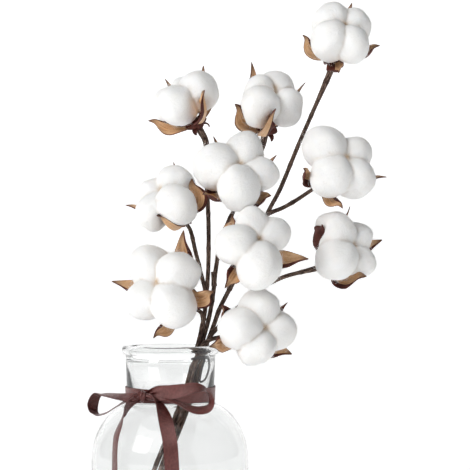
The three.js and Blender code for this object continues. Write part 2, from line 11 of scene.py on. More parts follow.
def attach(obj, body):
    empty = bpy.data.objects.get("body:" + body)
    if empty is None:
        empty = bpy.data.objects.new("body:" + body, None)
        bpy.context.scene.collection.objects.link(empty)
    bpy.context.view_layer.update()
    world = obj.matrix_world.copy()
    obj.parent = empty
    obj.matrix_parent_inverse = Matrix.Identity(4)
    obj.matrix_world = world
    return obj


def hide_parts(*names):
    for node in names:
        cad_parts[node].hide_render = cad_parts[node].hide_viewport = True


bl_info = {
    "name": "Cotton Stem Bunch",
    "version": (1, 0, 0),
    "blender": (4, 5, 0),
    "location": "3D View > Sidebar > Cotton",
    "description": "Builds a bunch of cotton stems in a glass bottle vase with a satin bow",
    "category": "Add Mesh",
}

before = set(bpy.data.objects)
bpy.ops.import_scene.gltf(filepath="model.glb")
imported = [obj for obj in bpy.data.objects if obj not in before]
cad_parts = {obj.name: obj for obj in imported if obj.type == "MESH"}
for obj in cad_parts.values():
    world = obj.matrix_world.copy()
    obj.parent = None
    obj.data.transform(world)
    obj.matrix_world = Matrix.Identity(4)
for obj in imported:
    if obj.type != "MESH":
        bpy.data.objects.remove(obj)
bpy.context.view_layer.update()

MM = 0.001  # the tables below are in millimetres
GAP = 0.3  # clearance between two pieces that touch

# ------------------------------------------------------------------------------------------
# Tables
# ------------------------------------------------------------------------------------------

# The vase, with heights from the floor that it stands on
SHOULDER_RADII = (44, 50)  # across and up, of the oval that the shoulder follows
SHOULDER_FOOT = 100
NECK_FOOT = 147
FOOT_HOLLOW = 1.6
FOOT_CURVE = 260  # radius of the hollow under the foot
FOOT_END = -82.4  # degrees at which the hollow meets the ring that the bottle stands on
LIP_RADIUS = 1.4  # rounding inside the rim
ARC_STEPS, SHOULDER_STEPS, NECK_STEPS = 12, 28, 6

# The ribbon
RIBBON_HEIGHT = 155
KNOT_CENTRE = (-21.6, -37.4, 155.5)
KNOT_HALVES = (3.4, 5.4, 4.6)  # half sizes of the knot, sideways, outwards and up
KNOT_TILT = math.radians(20)
NECK_RIPPLE, KNOT_FOLD, PLEAT_DEPTH = 0.25, 0.5, 3  # heights of the folds in the cloth
STRIP_CELLS, LOOP_STEPS, TAIL_STEPS = 12, 96, 72
BAND_CELLS, BAND_STEPS = 8, 160

# Each row of a strip is a point on its middle line, the direction across it and its width there
# as a share of the ribbon's
LEFT_LOOP = [
    ((-22.9, -38, 155.1), (0, 0.1, 1), 0.5),
    ((-32.4, -40, 154.9), (0, 0.85, 0.52), 1),
    ((-43.5, -41.5, 156.3), (0, 0.95, 0.29), 1),
    ((-51.5, -42, 157.5), (0.1, 1, 0.12), 1),
    ((-56.9, -41, 157.1), (0.42, 0.85, -0.3), 1),
    ((-60.4, -40, 150.3), (0.69, 0.72, 0), 1),
    ((-59.9, -40.5, 144.2), (0.46, 0.88, 0.12), 1),
    ((-56.7, -41.5, 140.9), (0, 1, 0.05), 1),
    ((-50.1, -43, 142), (0, 1, 0.02), 1),
    ((-41.3, -43.5, 147.3), (0, 1, 0.02), 1),
    ((-33.8, -42, 151.4), (0, 1, 0.1), 0.9),
    ((-23.1, -38.5, 154.9), (0, 0.3, 1), 0.5),
]
RIGHT_LOOP = [
    ((-17.5, -38.5, 155.8), (-0.3, 0.1, 1), 0.45),
    ((-7.8, -43.5, 159.1), (-0.25, 0.25, 0.9), 0.9),
    ((1.7, -46, 159.3), (0, 0.15, 1), 1),
    ((12.3, -47.5, 160.7), (0, 0.45, 0.9), 1),
    ((22.9, -48.5, 162.7), (-0.1, 0.75, 0.65), 1),
    ((31.6, -50, 160.1), (-0.45, 0.85, 0.3), 1),
    ((35.4, -52.5, 153), (-0.35, 0.93, 0.1), 1),
    ((32.4, -55, 147.6), (-0.3, 0.85, 0.4), 1),
    ((25.7, -56, 146.2), (0, 0.88, 0.45), 1),
    ((17.6, -54.5, 148.2), (-0.12, 0.92, 0.35), 1),
    ((10.7, -52, 151.2), (-0.1, 0.97, 0.22), 1),
    ((2.5, -48, 153.6), (-0.05, 0.97, 0.2), 0.9),
    ((-7.1, -43.5, 154.7), (0, 0.8, 0.5), 0.7),
    ((-16.2, -39, 155.6), (0, 0.4, 1), 0.45),
]
LEFT_TAIL = [
    ((-21.1, -40, 155.3), (0.2, 0.3, -0.9), 0.45),
    ((-27.7, -43.5, 153.1), (0.35, 0.72, -0.6), 0.9),
    ((-33, -46.5, 146.3), (0.28, 0.93, -0.15), 1),
    ((-34.8, -50.5, 141.6), (0, 1, 0.02), 1),
    ((-37.4, -54, 133.9), (-0.32, 0.94, 0.05), 1),
    ((-39.8, -57.5, 125.2), (-0.42, 0.9, 0.05), 1),
    ((-40.8, -58.5, 113.2), (-0.42, 0.9, 0), 1),
    ((-40.8, -58.5, 101.1), (-0.45, 0.89, 0), 1),
    ((-41.5, -58.5, 76), (-0.5, 0.85, 0), 1),
    ((-42.3, -58, 56), (-0.6, 0.75, 0), 1),
]
RIGHT_TAIL = [
    ((-16.7, -41, 156.3), (0.3, 0.3, -0.85), 0.45),
    ((-10.2, -44.5, 154.2), (0.45, 0.75, -0.4), 0.7),
    ((-6.2, -47.5, 150.4), (0.35, 0.93, 0.1), 0.9),
    ((-2.3, -53.5, 142.4), (0.8, 0.6, 0.1), 1),
    ((1.2, -61, 131.7), (1, 0.1, 0.2), 1),
    ((3.8, -67, 120.4), (1, 0.06, 0.12), 1),
    ((5.2, -69.2, 102.8), (1, 0.1, 0.06), 1),
    ((7.5, -69.5, 66), (1, 0.1, -0.05), 1),
    ((6, -69.5, 44), (1, 0.1, -0.05), 1),
]

# The lint of one boll of size 1
LOCK_RADII = (15.8, 18)  # sideways and along the boll's axis
LOCK_OVERLAP = 1.5  # how far a lock runs past the boll's axis
CORE_RADIUS = 11
FURROW_SHARE = 0.3  # how much of the swelling where two locks meet is taken off
LUMP_SCALE, TUFT_SCALE = 2.2, 17
TUFT_NOISE = (0.8, 2.3, 3)  # how rough, how much finer at each step, and steps
PRESS_GAP = 0.45  # how far the lint stays under a valve
PRESS_ROUNDS = 10
LEAST_REACH = 6  # the lint is never pressed in nearer to the boll's middle than this
RAY_LENGTH, NO_LIMIT = 60, 1e3
FIBRE_CLEARANCE = 2.5  # lint nearer than this to a valve bears no loose fibres
# The heart is painted shade: darker, browner lint in the hollow where the four locks meet
HEART_SPREAD = 7  # square of about how far the brown heart runs from the boll's axis

# The burr of one boll of size 1
CUP_BOTTOM = -27
CUP_RADIUS = 9.5
CUP_SEGMENTS, CUP_LOBES = 40, 0.06  # faces round the cup, and lobes as a share of its radius
VALVE_WIDTH = 17
VALVE_ROOT = [(3, -23), (12, -22), (20, -18.5)]
VALVE_BELLY = [(0.27, 1.8), (0.52, 1), (0.78, -1), (1, 0)]  # share of the way, and bulge
VALVE_TAPER = [0.55, 0.75, 0.98, 1, 0.8, 0.36, 0.05]
VALVE_STEPS, VALVE_CELLS = 34, 16
TWIST_END = 0.6  # share of the way by which a valve has turned its whole twist
SKIN = 0.5  # half of a valve's thickness
SEPTUM = (1.5, 0.7)  # height and half width of the ridge down the inner face
MIDRIB = (0.25, 0.8)  # depth and half width of the groove down the outer face
EDGE_WAVE, EDGE_FOLD = 0.5, 0.5  # height of the waves, and fold as a share of the half width
CURL_START = 0.72  # share of the half width where an edge starts to curl
BRACT_COUNT, BRACT_WIDTH = 3, 4.5
# A bract from its root to its tip: distance from the axis, height over the cup's foot, width
BRACT = [(3, 2.6, 0.9), (5.4, 2, 1), (7.4, 1, 0.9), (8.4, -0.8, 0.6), (8.2, -2.6, 0.15)]

# Middle of the lint, direction out of the open face, turn of the first lock and size
BOLLS = [
    ((146.5, 5, 461.5), (0.17, -0.78, 0.6), 40, 1.07),
    ((86, 20, 403), (0.18, -0.55, 0.82), -20, 1.06),
    ((10, 15, 406.5), (-0.46, -0.3, 0.84), -15, 1.05),
    ((143, -10, 348), (0.4, -0.84, 0.36), 43, 1.16),
    ((-2, -20, 317.5), (-0.46, -0.64, 0.62), -35, 1.0),
    ((58, -32, 338), (0.05, -0.84, 0.54), -8, 1.07),
    ((149, 0, 275.5), (0.52, -0.78, 0.34), 47, 1.06),
    ((70.5, -58, 277.5), (0.28, -0.87, 0.4), 10, 1.0),
    ((-4, -42, 243.5), (-0.36, -0.87, 0.32), 30, 1.1),
    ((72.5, -46, 209), (0.5, -0.82, 0.2), -8, 1.02),
]

# The four locks of each boll: degrees that a lock stands off its quarter, how far it reaches
# from the boll's axis, size and height along the axis
LOCKS = [
    ((9, 31.4, 0.92, 0), (-10, 31.8, 0.98, 0), (6, 31.3, 0.98, 1), (-12, 29.5, 0.9, 1)),
    ((25, 26.8, 0.95, 0), (11, 32.6, 1, 6), (0, 25.8, 0.95, 6), (-21, 32.3, 1, 2)),
    ((0, 31.6, 1, 1), (4, 31, 0.96, 0), (0, 27.3, 0.95, -1), (-4, 32.1, 1, 0)),
    ((0, 30.5, 0.9, -1), (5, 33.1, 1, -1), (14, 31, 0.95, 0), (6, 30.7, 0.93, 0)),
    ((-20, 35.4, 1.05, 0), (4, 31.8, 1, 1), (0, 30.8, 0.95, 0), (-12, 32.8, 0.95, -1)),
    ((8, 31.7, 0.78, -1), (-3, 37.1, 1, 0), (-9, 37.5, 1.12, 0), (6, 34, 1.05, 1)),
    ((6, 30.9, 0.86, 0), (-1, 35.2, 1.07, 0), (-1, 34.1, 1.03, 1), (10, 28.4, 0.86, -1)),
    ((28, 34, 0.9, 0), (-1, 32.5, 0.93, 0), (2, 33.6, 1.03, 1), (-1, 38.3, 1.17, 0)),
    ((5, 31.6, 1, 1), (1, 39.4, 1.05, -1), (3, 31.2, 0.95, 0), (1, 35.4, 1.02, 0)),
    ((14, 33.6, 1.03, 0), (3, 34.3, 1.07, -1), (8, 34.9, 1.05, 0), (-2, 29.1, 0.98, 1)),
]

# The four valves of each boll: degrees off the furrow, distance of the tip from the axis,
# height of the tip along the axis, twist in radians and width
VALVES = [
    ((-10, 40, 4, -0.5, 0.75), (22, 35, 3, -1.3, 0.6),
     (1, 38, -8, 0.7, 0.8), (-8, 32, 0, 0.2, 1.15)),
    ((21, 40, 13, -0.4, 0.8), (4, 41, 20, -0.2, 0.8),
     (0, 34, 2, -1.2, 1.05), (-24, 34, 12, 1, 1.15)),
    ((24, 42, 14, 0.3, 0.8), (-12, 29, 20, 0, 0.6),
     (-8, 35, 0, -0.9, 0.85), (2, 43, 4, 1.05, 1.4)),
    ((34, 29, 6, 0.1, 0.5), (24, 35, 4, -1, 0.7), (1, 38, 2, 0.7, 0.6), (-6, 37, 4, -0.2, 0.7)),
    ((1, 27, 6, 1.4, 1), (-32, 31, 12, -0.1, 0.6),
     (-28, 44, 0, 0.2, 0.8), (-18, 28, 8, -0.5, 1.2)),
    ((-14, 31, 8, 0, 0.6), (-3, 37, 6, 0.2, 0.6), (4, 37, 2, 0.3, 1.1), (10, 33, 1, 0.7, 1)),
    ((-6, 39, 4, 0.6, 0.6), (-22, 32, 9, 0.6, 1.15), (22, 27, 10, 1, 1.1), (24, 40, 2, 0, 0.9)),
    ((-7, 26, 4, 0.2, 0.6), (-10, 29, 5, -0.9, 0.8), (4, 47, -3, 0, 0.8), (28, 46, -2, 0.2, 1)),
    ((-8, 45, 4, 0.3, 1), (1, 44, 0, 0.1, 0.8), (5, 39, 0, -1.2, 0.8), (2, 43, 3, 1.1, 0.9)),
    ((7, 36, 4, 1.2, 0.8), (30, 39, 5, -0.1, 1), (-15, 47, 0, -0.2, 0.9), (28, 37, -2, 0.2, 1)),
]

# Dark outer colour painted on one side of each valve's inner face, in half widths: left if below
# nought, else right; it is painted shade on the side that folds away, together with dark skin
DARK_SKIN_AND_SHADE = [
    (0.3, -0.5, -0.9, -1),
    (-0.6, 0.3, -0.7, 1.2),
    (0.3, 0.3, -0.3, -0.6),
    (-0.8, 0.9, 0.4, -1),
    (-0.3, 0.5, 0.5, -0.7),
    (-0.6, 0.5, -0.4, -0.7),
    (1.2, 1.1, -0.5, -0.6),
    (0.5, -0.5, -0.6, -0.5),
    (-0.5, 0.4, -0.6, -0.15),
    (-1.3, -1.1, -0.4, -0.6),
]

# Valves whose outer skin is weathered like their inner one, as boll and place
WORN_OUTSIDE = {(2, 3), (3, 3), (5, 3)}

# The tied bundle: its middle and how far its twigs spread there, from the vase's floor up
TIE_CENTRE = (25.4, -6, 190)
TIE_SPACING = 3.75
BUNDLE_TWIST = 12
TWIG_STEP = 2.0
STALK_BEND = 12  # how far under its boll a twig turns into the boll's own direction
TWIG_TAPER = 0.12  # share by which a twig thins from its foot to its top
SWELL_SHARE = 0.1  # share of a twig that swells towards its boll
FIRST_KNOB, NEXT_KNOB, LAST_KNOB = (18, 30), (22, 34), 15  # least distance, and chance on top
KNOB_HEIGHT, KNOB_WIDTH = (0.12, 0.1), 2.2
COLLAR_HEIGHT, COLLAR_WIDTH = 0.35, 4.0  # swelling where a limb grows out of its twig
COIL_TURNS, COIL_RISE, COIL_STEPS = 2, 2.2, 48
BUNDLE = [
    ((-36, 12, 9), 2.6),
    ((-10, 4, 90), 1.25),
    ((10, -2.5, 141), 1.1),
    ((19, -4.5, 170), 1.05),
    (TIE_CENTRE, 1),
]

# CAD node, turn in the bundle, way from the tie, boll at its top, and limbs as (boll, way)
TWIGS = [
    (
        "stem_left",
        180,
        [(28.3, -5, 219), (30.5, -2, 242), (31.8, 0, 262), (31.5, 3, 309), (29.5, 7, 340)],
        3,
        [
            (5, [(30.4, -2.5, 238), (26, -3.5, 254), (21, -2, 274)]),
            (9, [(28.4, -5, 216), (25.5, -7.5, 223)]),
        ],
    ),
    (
        "stem_middle",
        108,
        [(32.6, -1.3, 219), (36.3, 1.2, 242), (38, 3, 259), (43, 8, 284)]
        + [(58, 18, 321), (70, 29, 350)],
        2,
        [
            (6, [(42, 7, 280), (47, 4, 296)]),
            (None, [(36.8, 1.2, 245), (35.6, -1, 257)]),
        ],
    ),
    (
        "stem_tall",
        36,
        [(36.5, -3, 212), (41.5, -3, 226), (49, -2, 241), (71, 4, 284)]
        + [(84, 8, 311), (93, 12, 328), (110.5, 18, 370)],
        1,
        [(4, [(82, 7.5, 307), (97, 10, 313)]), (8, [(49.5, -2, 242), (56, -12, 253)])],
    ),
    (
        "stem_right",
        -36,
        [(33.2, -9, 202), (40, -9, 210), (55, -7, 225.5), (75, -3, 242), (94, 4, 252)],
        7,
        [],
    ),
    ("stem_short", -108, [(28.5, -13, 197), (38, -15, 201.5)], 10, []),
]

WIRE_LOOP = [
    (31.5, -9, 188),
    (31.9, -10, 183),
    (31.5, -11, 176),
    (28.5, -12, 168.5),
    (25, -12.5, 167.5),
    (25.8, -12.8, 175),
    (28, -12.8, 183),
    (29, -11.4, 189.4),
]


# ------------------------------------------------------------------------------------------
# Curves and meshes
# ------------------------------------------------------------------------------------------


def smooth_curve(points, shares):
    """Places on the smooth curve through the points, at shares of its spans from 0 to 1."""
    points = np.asarray(points, float)
    held = np.concatenate([[2 * points[0] - points[1]], points, [2 * points[-1] - points[-2]]])
    spans = len(points) - 1
    position = np.clip(np.asarray(shares, float) * spans, 0, spans)
    first = np.minimum(position.astype(int), spans - 1)
    t = (position - first)[:, None]
    p0, p1, p2, p3 = (held[first + k] for k in range(4))

    def knot(a, b):
        return np.sqrt(np.maximum(np.linalg.norm(b - a, axis=1), 1e-6))[:, None]

    d0, d1, d2 = knot(p0, p1), knot(p1, p2), knot(p2, p3)
    t1 = ((p1 - p0) / d0 - (p2 - p0) / (d0 + d1) + (p2 - p1) / d1) * d1
    t2 = ((p2 - p1) / d1 - (p3 - p1) / (d1 + d2) + (p3 - p2) / d2) * d1
    return p1 + t1 * t + (3 * (p2 - p1) - 2 * t1 - t2) * t**2 + (2 * (p1 - p2) + t1 + t2) * t**3


def smooth_run(values, shares):
    """Single numbers on the smooth curve through the values."""
    return smooth_curve([(value, 0, 0) for value in values], shares)[:, 0]


def length_along(points):
    """The length of a line up to each of its points."""
    return np.concatenate([[0], np.cumsum(np.linalg.norm(np.diff(points, axis=0), axis=1))])


def even_curve(points, step):
    """Places on the smooth curve through the points, about one step apart."""
    dense = smooth_curve(points, np.linspace(0, 1, 600))
    run = length_along(dense)
    wanted = np.linspace(0, run[-1], max(3, round(run[-1] / step) + 1))
    return np.stack([np.interp(wanted, run, dense[:, axis]) for axis in range(3)], axis=1)


def unit(rows):
    """Rows of vectors, each brought to length 1."""
    rows = np.asarray(rows, float)
    return rows / np.linalg.norm(rows, axis=-1, keepdims=True)


def turned(rows, axis, angle):
    """Rows of vectors turned about rows of unit axes."""
    c, s = np.cos(angle)[:, None], np.sin(angle)[:, None]
    along = np.sum(rows * axis, axis=1, keepdims=True)
    return rows * c + np.cross(axis, rows) * s + axis * along * (1 - c)


def random_stream(seed):
    """A repeatable stream of numbers from 0 to 1."""
    state = seed
    while True:
        state = (state * 1664525 + 1013904223) % 4294967296
        yield state / 4294967296


def ring_faces(rings, sides, closed=False):
    """Faces between rings of points, which close into a loop of rings if they are told to."""
    faces = []
    for ring in range(rings if closed else rings - 1):
        a, b = ring * sides, (ring + 1) % rings * sides
        for side in range(sides):
            after = (side + 1) % sides
            faces.append((a + side, a + after, b + after, b + side))
    return faces


def spun(profile, segments, lobes=0.0):
    """Points and faces round the Z axis, from a profile that starts and ends on it."""
    points = [(0, 0, profile[0][1])]
    for radius, height in profile[1:-1]:
        for a in np.linspace(0, 2 * math.pi, segments, endpoint=False):
            out = radius * (1 + lobes * math.cos(5 * a) * (radius / CUP_RADIUS))
            points.append((out * math.cos(a), out * math.sin(a), height))
    points.append((0, 0, profile[-1][1]))
    faces = [tuple(1 + k for k in face) for face in ring_faces(len(profile) - 2, segments)]
    top = len(points) - 1
    last = top - segments
    for side in range(segments):
        after = (side + 1) % segments
        faces += [(0, 1 + after, 1 + side), (top, last + side, last + after)]
    return points, faces


def thin_sheet(middle, side, face, half, low, high):
    """Points and faces of a closed sheet: a line, its half widths and the skins off it."""
    across = np.linspace(-1, 1, low.shape[1])[:, None]
    flat = middle[:, None] + side[:, None] * half[:, None, None] * across
    skins = [flat + face[:, None] * skin[..., None] for skin in (low, high)]
    points = np.concatenate([skins[0], skins[1][:, ::-1]], axis=1).reshape(-1, 3)
    sides = 2 * len(across)
    last = (len(middle) - 1) * sides
    faces = ring_faces(len(middle), sides)
    for k in range(len(across) - 1):
        faces.append((k, sides - 1 - k, sides - 2 - k, k + 1))
        faces.append((last + k, last + k + 1, last + sides - 2 - k, last + sides - 1 - k))
    return points, faces


def there_and_back(values):
    """The values in order and then in reverse, as the two skins of a sheet run."""
    return [*values, *values[::-1]]


def joined(parts):
    """Several sets of points, faces and rows of numbers as one."""
    points, faces, numbers = [], [], []
    for some_points, some_faces, some_numbers in parts:
        start = len(points)
        points += list(some_points)
        faces += [tuple(start + k for k in face) for face in some_faces]
        numbers += list(some_numbers)
    return points, faces, numbers


def make_object(name, mesh):
    """An object at the origin that shows a mesh."""
    piece = bpy.data.objects.new(name, mesh)
    bpy.context.scene.collection.objects.link(piece)
    return piece


def mark(mesh, label, values):
    """Gives every point of a mesh a number of its own."""
    attribute = mesh.attributes.new(label, "FLOAT", "POINT")
    attribute.data.foreach_set("value", np.asarray(values, np.float32))


def make_piece(name, points, faces, material, uv=None, numbers=None, sharp=None):
    """A smooth mesh object. Points are in millimetres, uv and numbers go by point."""
    mesh = bpy.data.meshes.new(name)
    mesh.from_pydata([tuple(p) for p in np.asarray(points, float) * MM], [], faces)
    mesh.materials.append(material)
    if uv is not None:
        layer = mesh.uv_layers.new(name="UVMap")
        corners = np.zeros(len(mesh.loops), np.int32)
        mesh.loops.foreach_get("vertex_index", corners)
        layer.data.foreach_set("uv", np.asarray(uv, np.float32)[corners].ravel())
    for label, values in (numbers or {}).items():
        mark(mesh, label, values)
    mesh.polygons.foreach_set("use_smooth", [True] * len(mesh.polygons))
    if sharp:
        mesh.set_sharp_from_angle(angle=math.radians(sharp))
    mesh.validate()
    mesh.update()
    return make_object(name, mesh)


def fit(piece, node):
    """The piece takes the place of a node of the frame: it hangs from the root, and the node's
    own part is hidden.
    """
    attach(piece, "root")
    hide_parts(node)


# ------------------------------------------------------------------------------------------
# Node helpers
# ------------------------------------------------------------------------------------------


def colour(rgb):
    """A colour with full alpha."""
    return (*rgb, 1.0)


class Wiring:
    """Adds nodes to one tree and links them."""

    def __init__(self, tree):
        self.tree = tree

    def feed(self, socket, value):
        """Links an input to another node's output, or gives it a plain value."""
        if isinstance(value, bpy.types.NodeSocket):
            self.tree.links.new(value, socket)
        else:
            socket.default_value = value

    def add(self, kind, values=None, output=0, **settings):
        """One output of a new node, whose inputs are fed by name or number."""
        node = self.tree.nodes.new(kind)
        for key, value in settings.items():
            setattr(node, key, value)
        for key, value in (values or {}).items():
            self.feed(node.inputs[key], value)
        return node.outputs[output]

    def math(self, operation, *values):
        """The result of a Math node."""
        return self.add("ShaderNodeMath", dict(enumerate(values)), operation=operation)

    def times(self, value, *others):
        """The product of some values."""
        for other in others:
            value = self.math("MULTIPLY", value, other)
        return value

    def vector(self, *parts):
        """A vector from its parts."""
        return self.add("ShaderNodeCombineXYZ", dict(enumerate(parts)))

    def stretched(self, vector, by):
        """A vector multiplied by another, part by part."""
        return self.add("ShaderNodeVectorMath", {0: vector, 1: by}, operation="MULTIPLY")

    def noise(self, vector, scale, detail, more=None, **settings):
        """A soft random pattern."""
        values = {"Vector": vector, "Scale": scale, "Detail": detail, **(more or {})}
        return self.add("ShaderNodeTexNoise", values, **settings)

    def blend(self, share, one, other):
        """A mix of two colours, each a socket or three numbers."""
        one, other = (
            value if isinstance(value, bpy.types.NodeSocket) else colour(value)
            for value in (one, other)
        )
        return self.add("ShaderNodeMix", {0: share, 6: one, 7: other}, 2, data_type="RGBA")

    def spread(self, value, low, high, out_low=0.0, out_high=1.0):
        """A value brought from one range to another, smoothly and without going past it."""
        values = {0: value, 1: low, 2: high, 3: out_low, 4: out_high}
        return self.add("ShaderNodeMapRange", values, interpolation_type="SMOOTHSTEP")

    def marked(self, label):
        """A number that the points of a geometry tree hold."""
        node = "GeometryNodeInputNamedAttribute"
        return self.add(node, {"Name": label}, "Attribute", data_type="FLOAT")

    def store(self, geometry, label, value, kind="FLOAT"):
        """The geometry with a value stored on its points."""
        values = {"Geometry": geometry, "Name": label, "Value": value}
        node = "GeometryNodeStoreNamedAttribute"
        return self.add(node, values, data_type=kind, domain="POINT")

    def dressed(self, geometry, material):
        """The geometry made real, smooth and of one material."""
        real = self.add("GeometryNodeRealizeInstances", {"Geometry": geometry})
        smooth = self.add("GeometryNodeSetShadeSmooth", {"Geometry": real})
        return self.add("GeometryNodeSetMaterial", {"Geometry": smooth, "Material": material})


class Finish(Wiring):
    """A material with a Principled shader, whose plain inputs are set on its own sockets."""

    def __init__(self, name, shown, **plain):
        self.material = bpy.data.materials.new(name)
        self.material.use_nodes = True
        self.material.diffuse_color = colour(shown)
        super().__init__(self.material.node_tree)
        self.shader = self.tree.nodes["Principled BSDF"]
        for label, value in plain.items():
            self.give(label.replace("_", " "), value)

    def give(self, label, value):
        """Feeds an input of the shader."""
        self.feed(self.shader.inputs[label], value)

    def place(self):
        """Where a point lies on its object."""
        return self.add("ShaderNodeTexCoord", output="Object")

    def attribute(self, label, output="Fac"):
        """A value that the points of the piece hold."""
        return self.add("ShaderNodeAttribute", output=output, attribute_name=label)

    def mottle(self, blotch_scale, speck_scale=600.0):
        """Blotches and specks of the Mottle group."""
        values = {
            "Vector": self.place(),
            "Blotch Scale": blotch_scale,
            "Speck Scale": speck_scale,
        }
        return self.add("ShaderNodeGroup", values, node_tree=shared("Mottle", mottle_group))

    def grain(self, vector, scale, stretch):
        """Lines of the Grain group along a vector."""
        values = {"Vector": vector, "Scale": scale, "Stretch": stretch}
        return self.add("ShaderNodeGroup", values, node_tree=shared("Grain", grain_group))

    def bump(self, height, strength, distance):
        """Relief from a height that changes over the surface."""
        values = {"Height": height, "Strength": strength, "Distance": distance}
        self.give("Normal", self.add("ShaderNodeBump", values))


def shared(name, make):
    """A node tree that is made once and then found again by its name."""
    return bpy.data.node_groups.get(name) or make(name)


def new_tree(kind, name, inputs, output):
    """An empty tree with named inputs and one output: its wiring, inputs and output."""
    tree = bpy.data.node_groups.new(name, kind)
    for label, socket_kind, value in inputs:
        socket = tree.interface.new_socket(
            label, in_out="INPUT", socket_type=f"NodeSocket{socket_kind}"
        )
        if value is not None:
            socket.default_value = value
    tree.interface.new_socket(output[0], in_out="OUTPUT", socket_type=f"NodeSocket{output[1]}")
    given = tree.nodes.new("NodeGroupInput").outputs
    return Wiring(tree), given, tree.nodes.new("NodeGroupOutput").inputs[0]


def mottle_group(name):
    """Soft blotches over fine specks, as a mask from 0 to 1."""
    inputs = [
        ("Vector", "Vector", None),
        ("Blotch Scale", "Float", 60.0),
        ("Speck Scale", "Float", 600.0),
        ("Speck Share", "Float", 0.4),
    ]
    wiring, given, result = new_tree("ShaderNodeTree", name, inputs, ("Mask", "Float"))
    blotch = wiring.noise(given["Vector"], given["Blotch Scale"], 3.0)
    speck = wiring.noise(given["Vector"], given["Speck Scale"], 2.0)
    mixed = wiring.add("ShaderNodeMix", {0: given["Speck Share"], 2: blotch, 3: speck})
    wiring.feed(result, wiring.spread(mixed, 0.32, 0.68))
    return wiring.tree


def grain_group(name):
    """Fine lines that run along one direction of a vector, as a height from 0 to 1."""
    inputs = [
        ("Vector", "Vector", None),
        ("Stretch", "Vector", (1.0, 1.0, 0.1)),
        ("Scale", "Float", 10.0),
    ]
    wiring, given, result = new_tree("ShaderNodeTree", name, inputs, ("Height", "Float"))
    along = wiring.stretched(given["Vector"], given["Stretch"])
    wiring.feed(result, wiring.noise(along, given["Scale"], 4.0, {"Roughness": 0.6}))
    return wiring.tree


# ------------------------------------------------------------------------------------------
# Materials
# ------------------------------------------------------------------------------------------


def glass_material(look):
    """Clear glass with the faint unevenness of a blown bottle."""
    finish = Finish(
        "Clear glass", look.glass, Roughness=0.0, IOR=1.46, Transmission_Weight=1.0
    )
    tint = finish.noise(finish.place(), 14.0, 1.0)
    finish.give("Base Color", finish.blend(tint, look.glass, look.glass_clear))
    finish.bump(finish.noise(finish.place(), 26.0, 1.0), 0.12, 0.002)
    return finish.material


def satin_material(look):
    """Satin with a dense warp, a corded edge and a soft shine."""
    finish = Finish(
        "Satin",
        look.satin,
        Roughness=0.35,
        Sheen_Weight=0.05,
        Sheen_Roughness=0.35,
        Sheen_Tint=(1.0, 0.7, 0.68, 1.0),
        Specular_Tint=(1.0, 0.66, 0.64, 1.0),
        Specular_IOR_Level=1.0,
        Anisotropic=0.4,
    )
    warps, wefts = 46, 30  # threads across the width, and in a length as long as the width
    uv = finish.add("ShaderNodeUVMap", uv_map="UVMap")
    run, across, _ = finish.add("ShaderNodeSeparateXYZ", {0: uv}).node.outputs
    from_middle = finish.math("ABSOLUTE", finish.math("SUBTRACT", across, 0.5))
    edge = finish.spread(from_middle, 0.44, 0.46)
    warp = finish.math("SINE", finish.times(across, 2 * math.pi * warps))
    weft = finish.math("SINE", finish.times(run, 2 * math.pi * wefts))
    weave = finish.math("ADD", warp, finish.times(weft, 0.5))
    base = finish.blend(finish.mottle(45.0), look.satin_shade, look.satin)
    base = finish.blend(finish.times(edge, 0.6), base, look.satin_shade)
    finish.give("Base Color", base)
    finish.give("Roughness", finish.math("ADD", finish.times(edge, 0.15), 0.27))
    height = finish.math("ADD", finish.times(weave, 0.12), finish.times(edge, 0.6))
    finish.bump(height, 0.5, 0.0002)
    return finish.material


def bark_material(look):
    """Dry bark with grooves along the twig and paler worn ridges."""
    finish = Finish("Bark", look.bark, Roughness=0.75, Specular_IOR_Level=0.4)
    ridge = finish.grain(finish.attribute("grain", "Vector"), 3.0, (1.0, 1.0, 60.0))
    base = finish.blend(finish.spread(ridge, 0.42, 0.62), look.bark_shade, look.bark)
    grey = finish.times(finish.mottle(40.0), finish.spread(ridge, 0.5, 0.62), 0.9)
    finish.give("Base Color", finish.blend(grey, base, look.bark_worn))
    finish.give("Roughness", finish.spread(ridge, 0.3, 0.7, 0.85, 0.6))
    finish.bump(ridge, 0.6, 0.0006)
    return finish.material


def wire_material(look):
    """Wire wound with dark crepe paper."""
    finish = Finish("Wrapped wire", look.wire, Roughness=0.6)
    wrap = finish.grain(finish.attribute("grain", "Vector"), 2.0, (0.6, 0.6, 900.0))
    folds = finish.spread(wrap, 0.35, 0.65)
    finish.give("Base Color", finish.blend(folds, look.wire_shade, look.wire))
    finish.bump(wrap, 0.5, 0.0003)
    return finish.material


def lint_material(look):
    """Soft white lint, with painted shade that makes it darker and warmer down in the furrows and
    at the heart.
    """
    finish = Finish(
        "Cotton lint",
        look.lint,
        Roughness=1.0,
        Subsurface_Weight=0.35,
        Subsurface_Scale=0.004,
        Subsurface_Radius=(1.0, 0.9, 0.8),
        Specular_IOR_Level=0.1,
        Sheen_Weight=0.15,
        Sheen_Roughness=0.6,
    )
    base = finish.blend(finish.mottle(55.0, 900.0), look.lint_shade, look.lint)
    # Painted shade: darker, warmer lint down in the furrows and at the heart where the locks meet
    for label, painted_shade in (("painted_shade", look.lint_furrow_shade), ("heart", look.lint_heart_shade)):
        base = finish.blend(finish.times(finish.attribute(label), 0.9), base, painted_shade)
    finish.give("Base Color", base)
    rough = {"Roughness": 0.65, "Distortion": 1.2}
    finish.bump(finish.noise(finish.place(), 420.0, 6.0, rough), 0.35, 0.0012)
    return finish.material


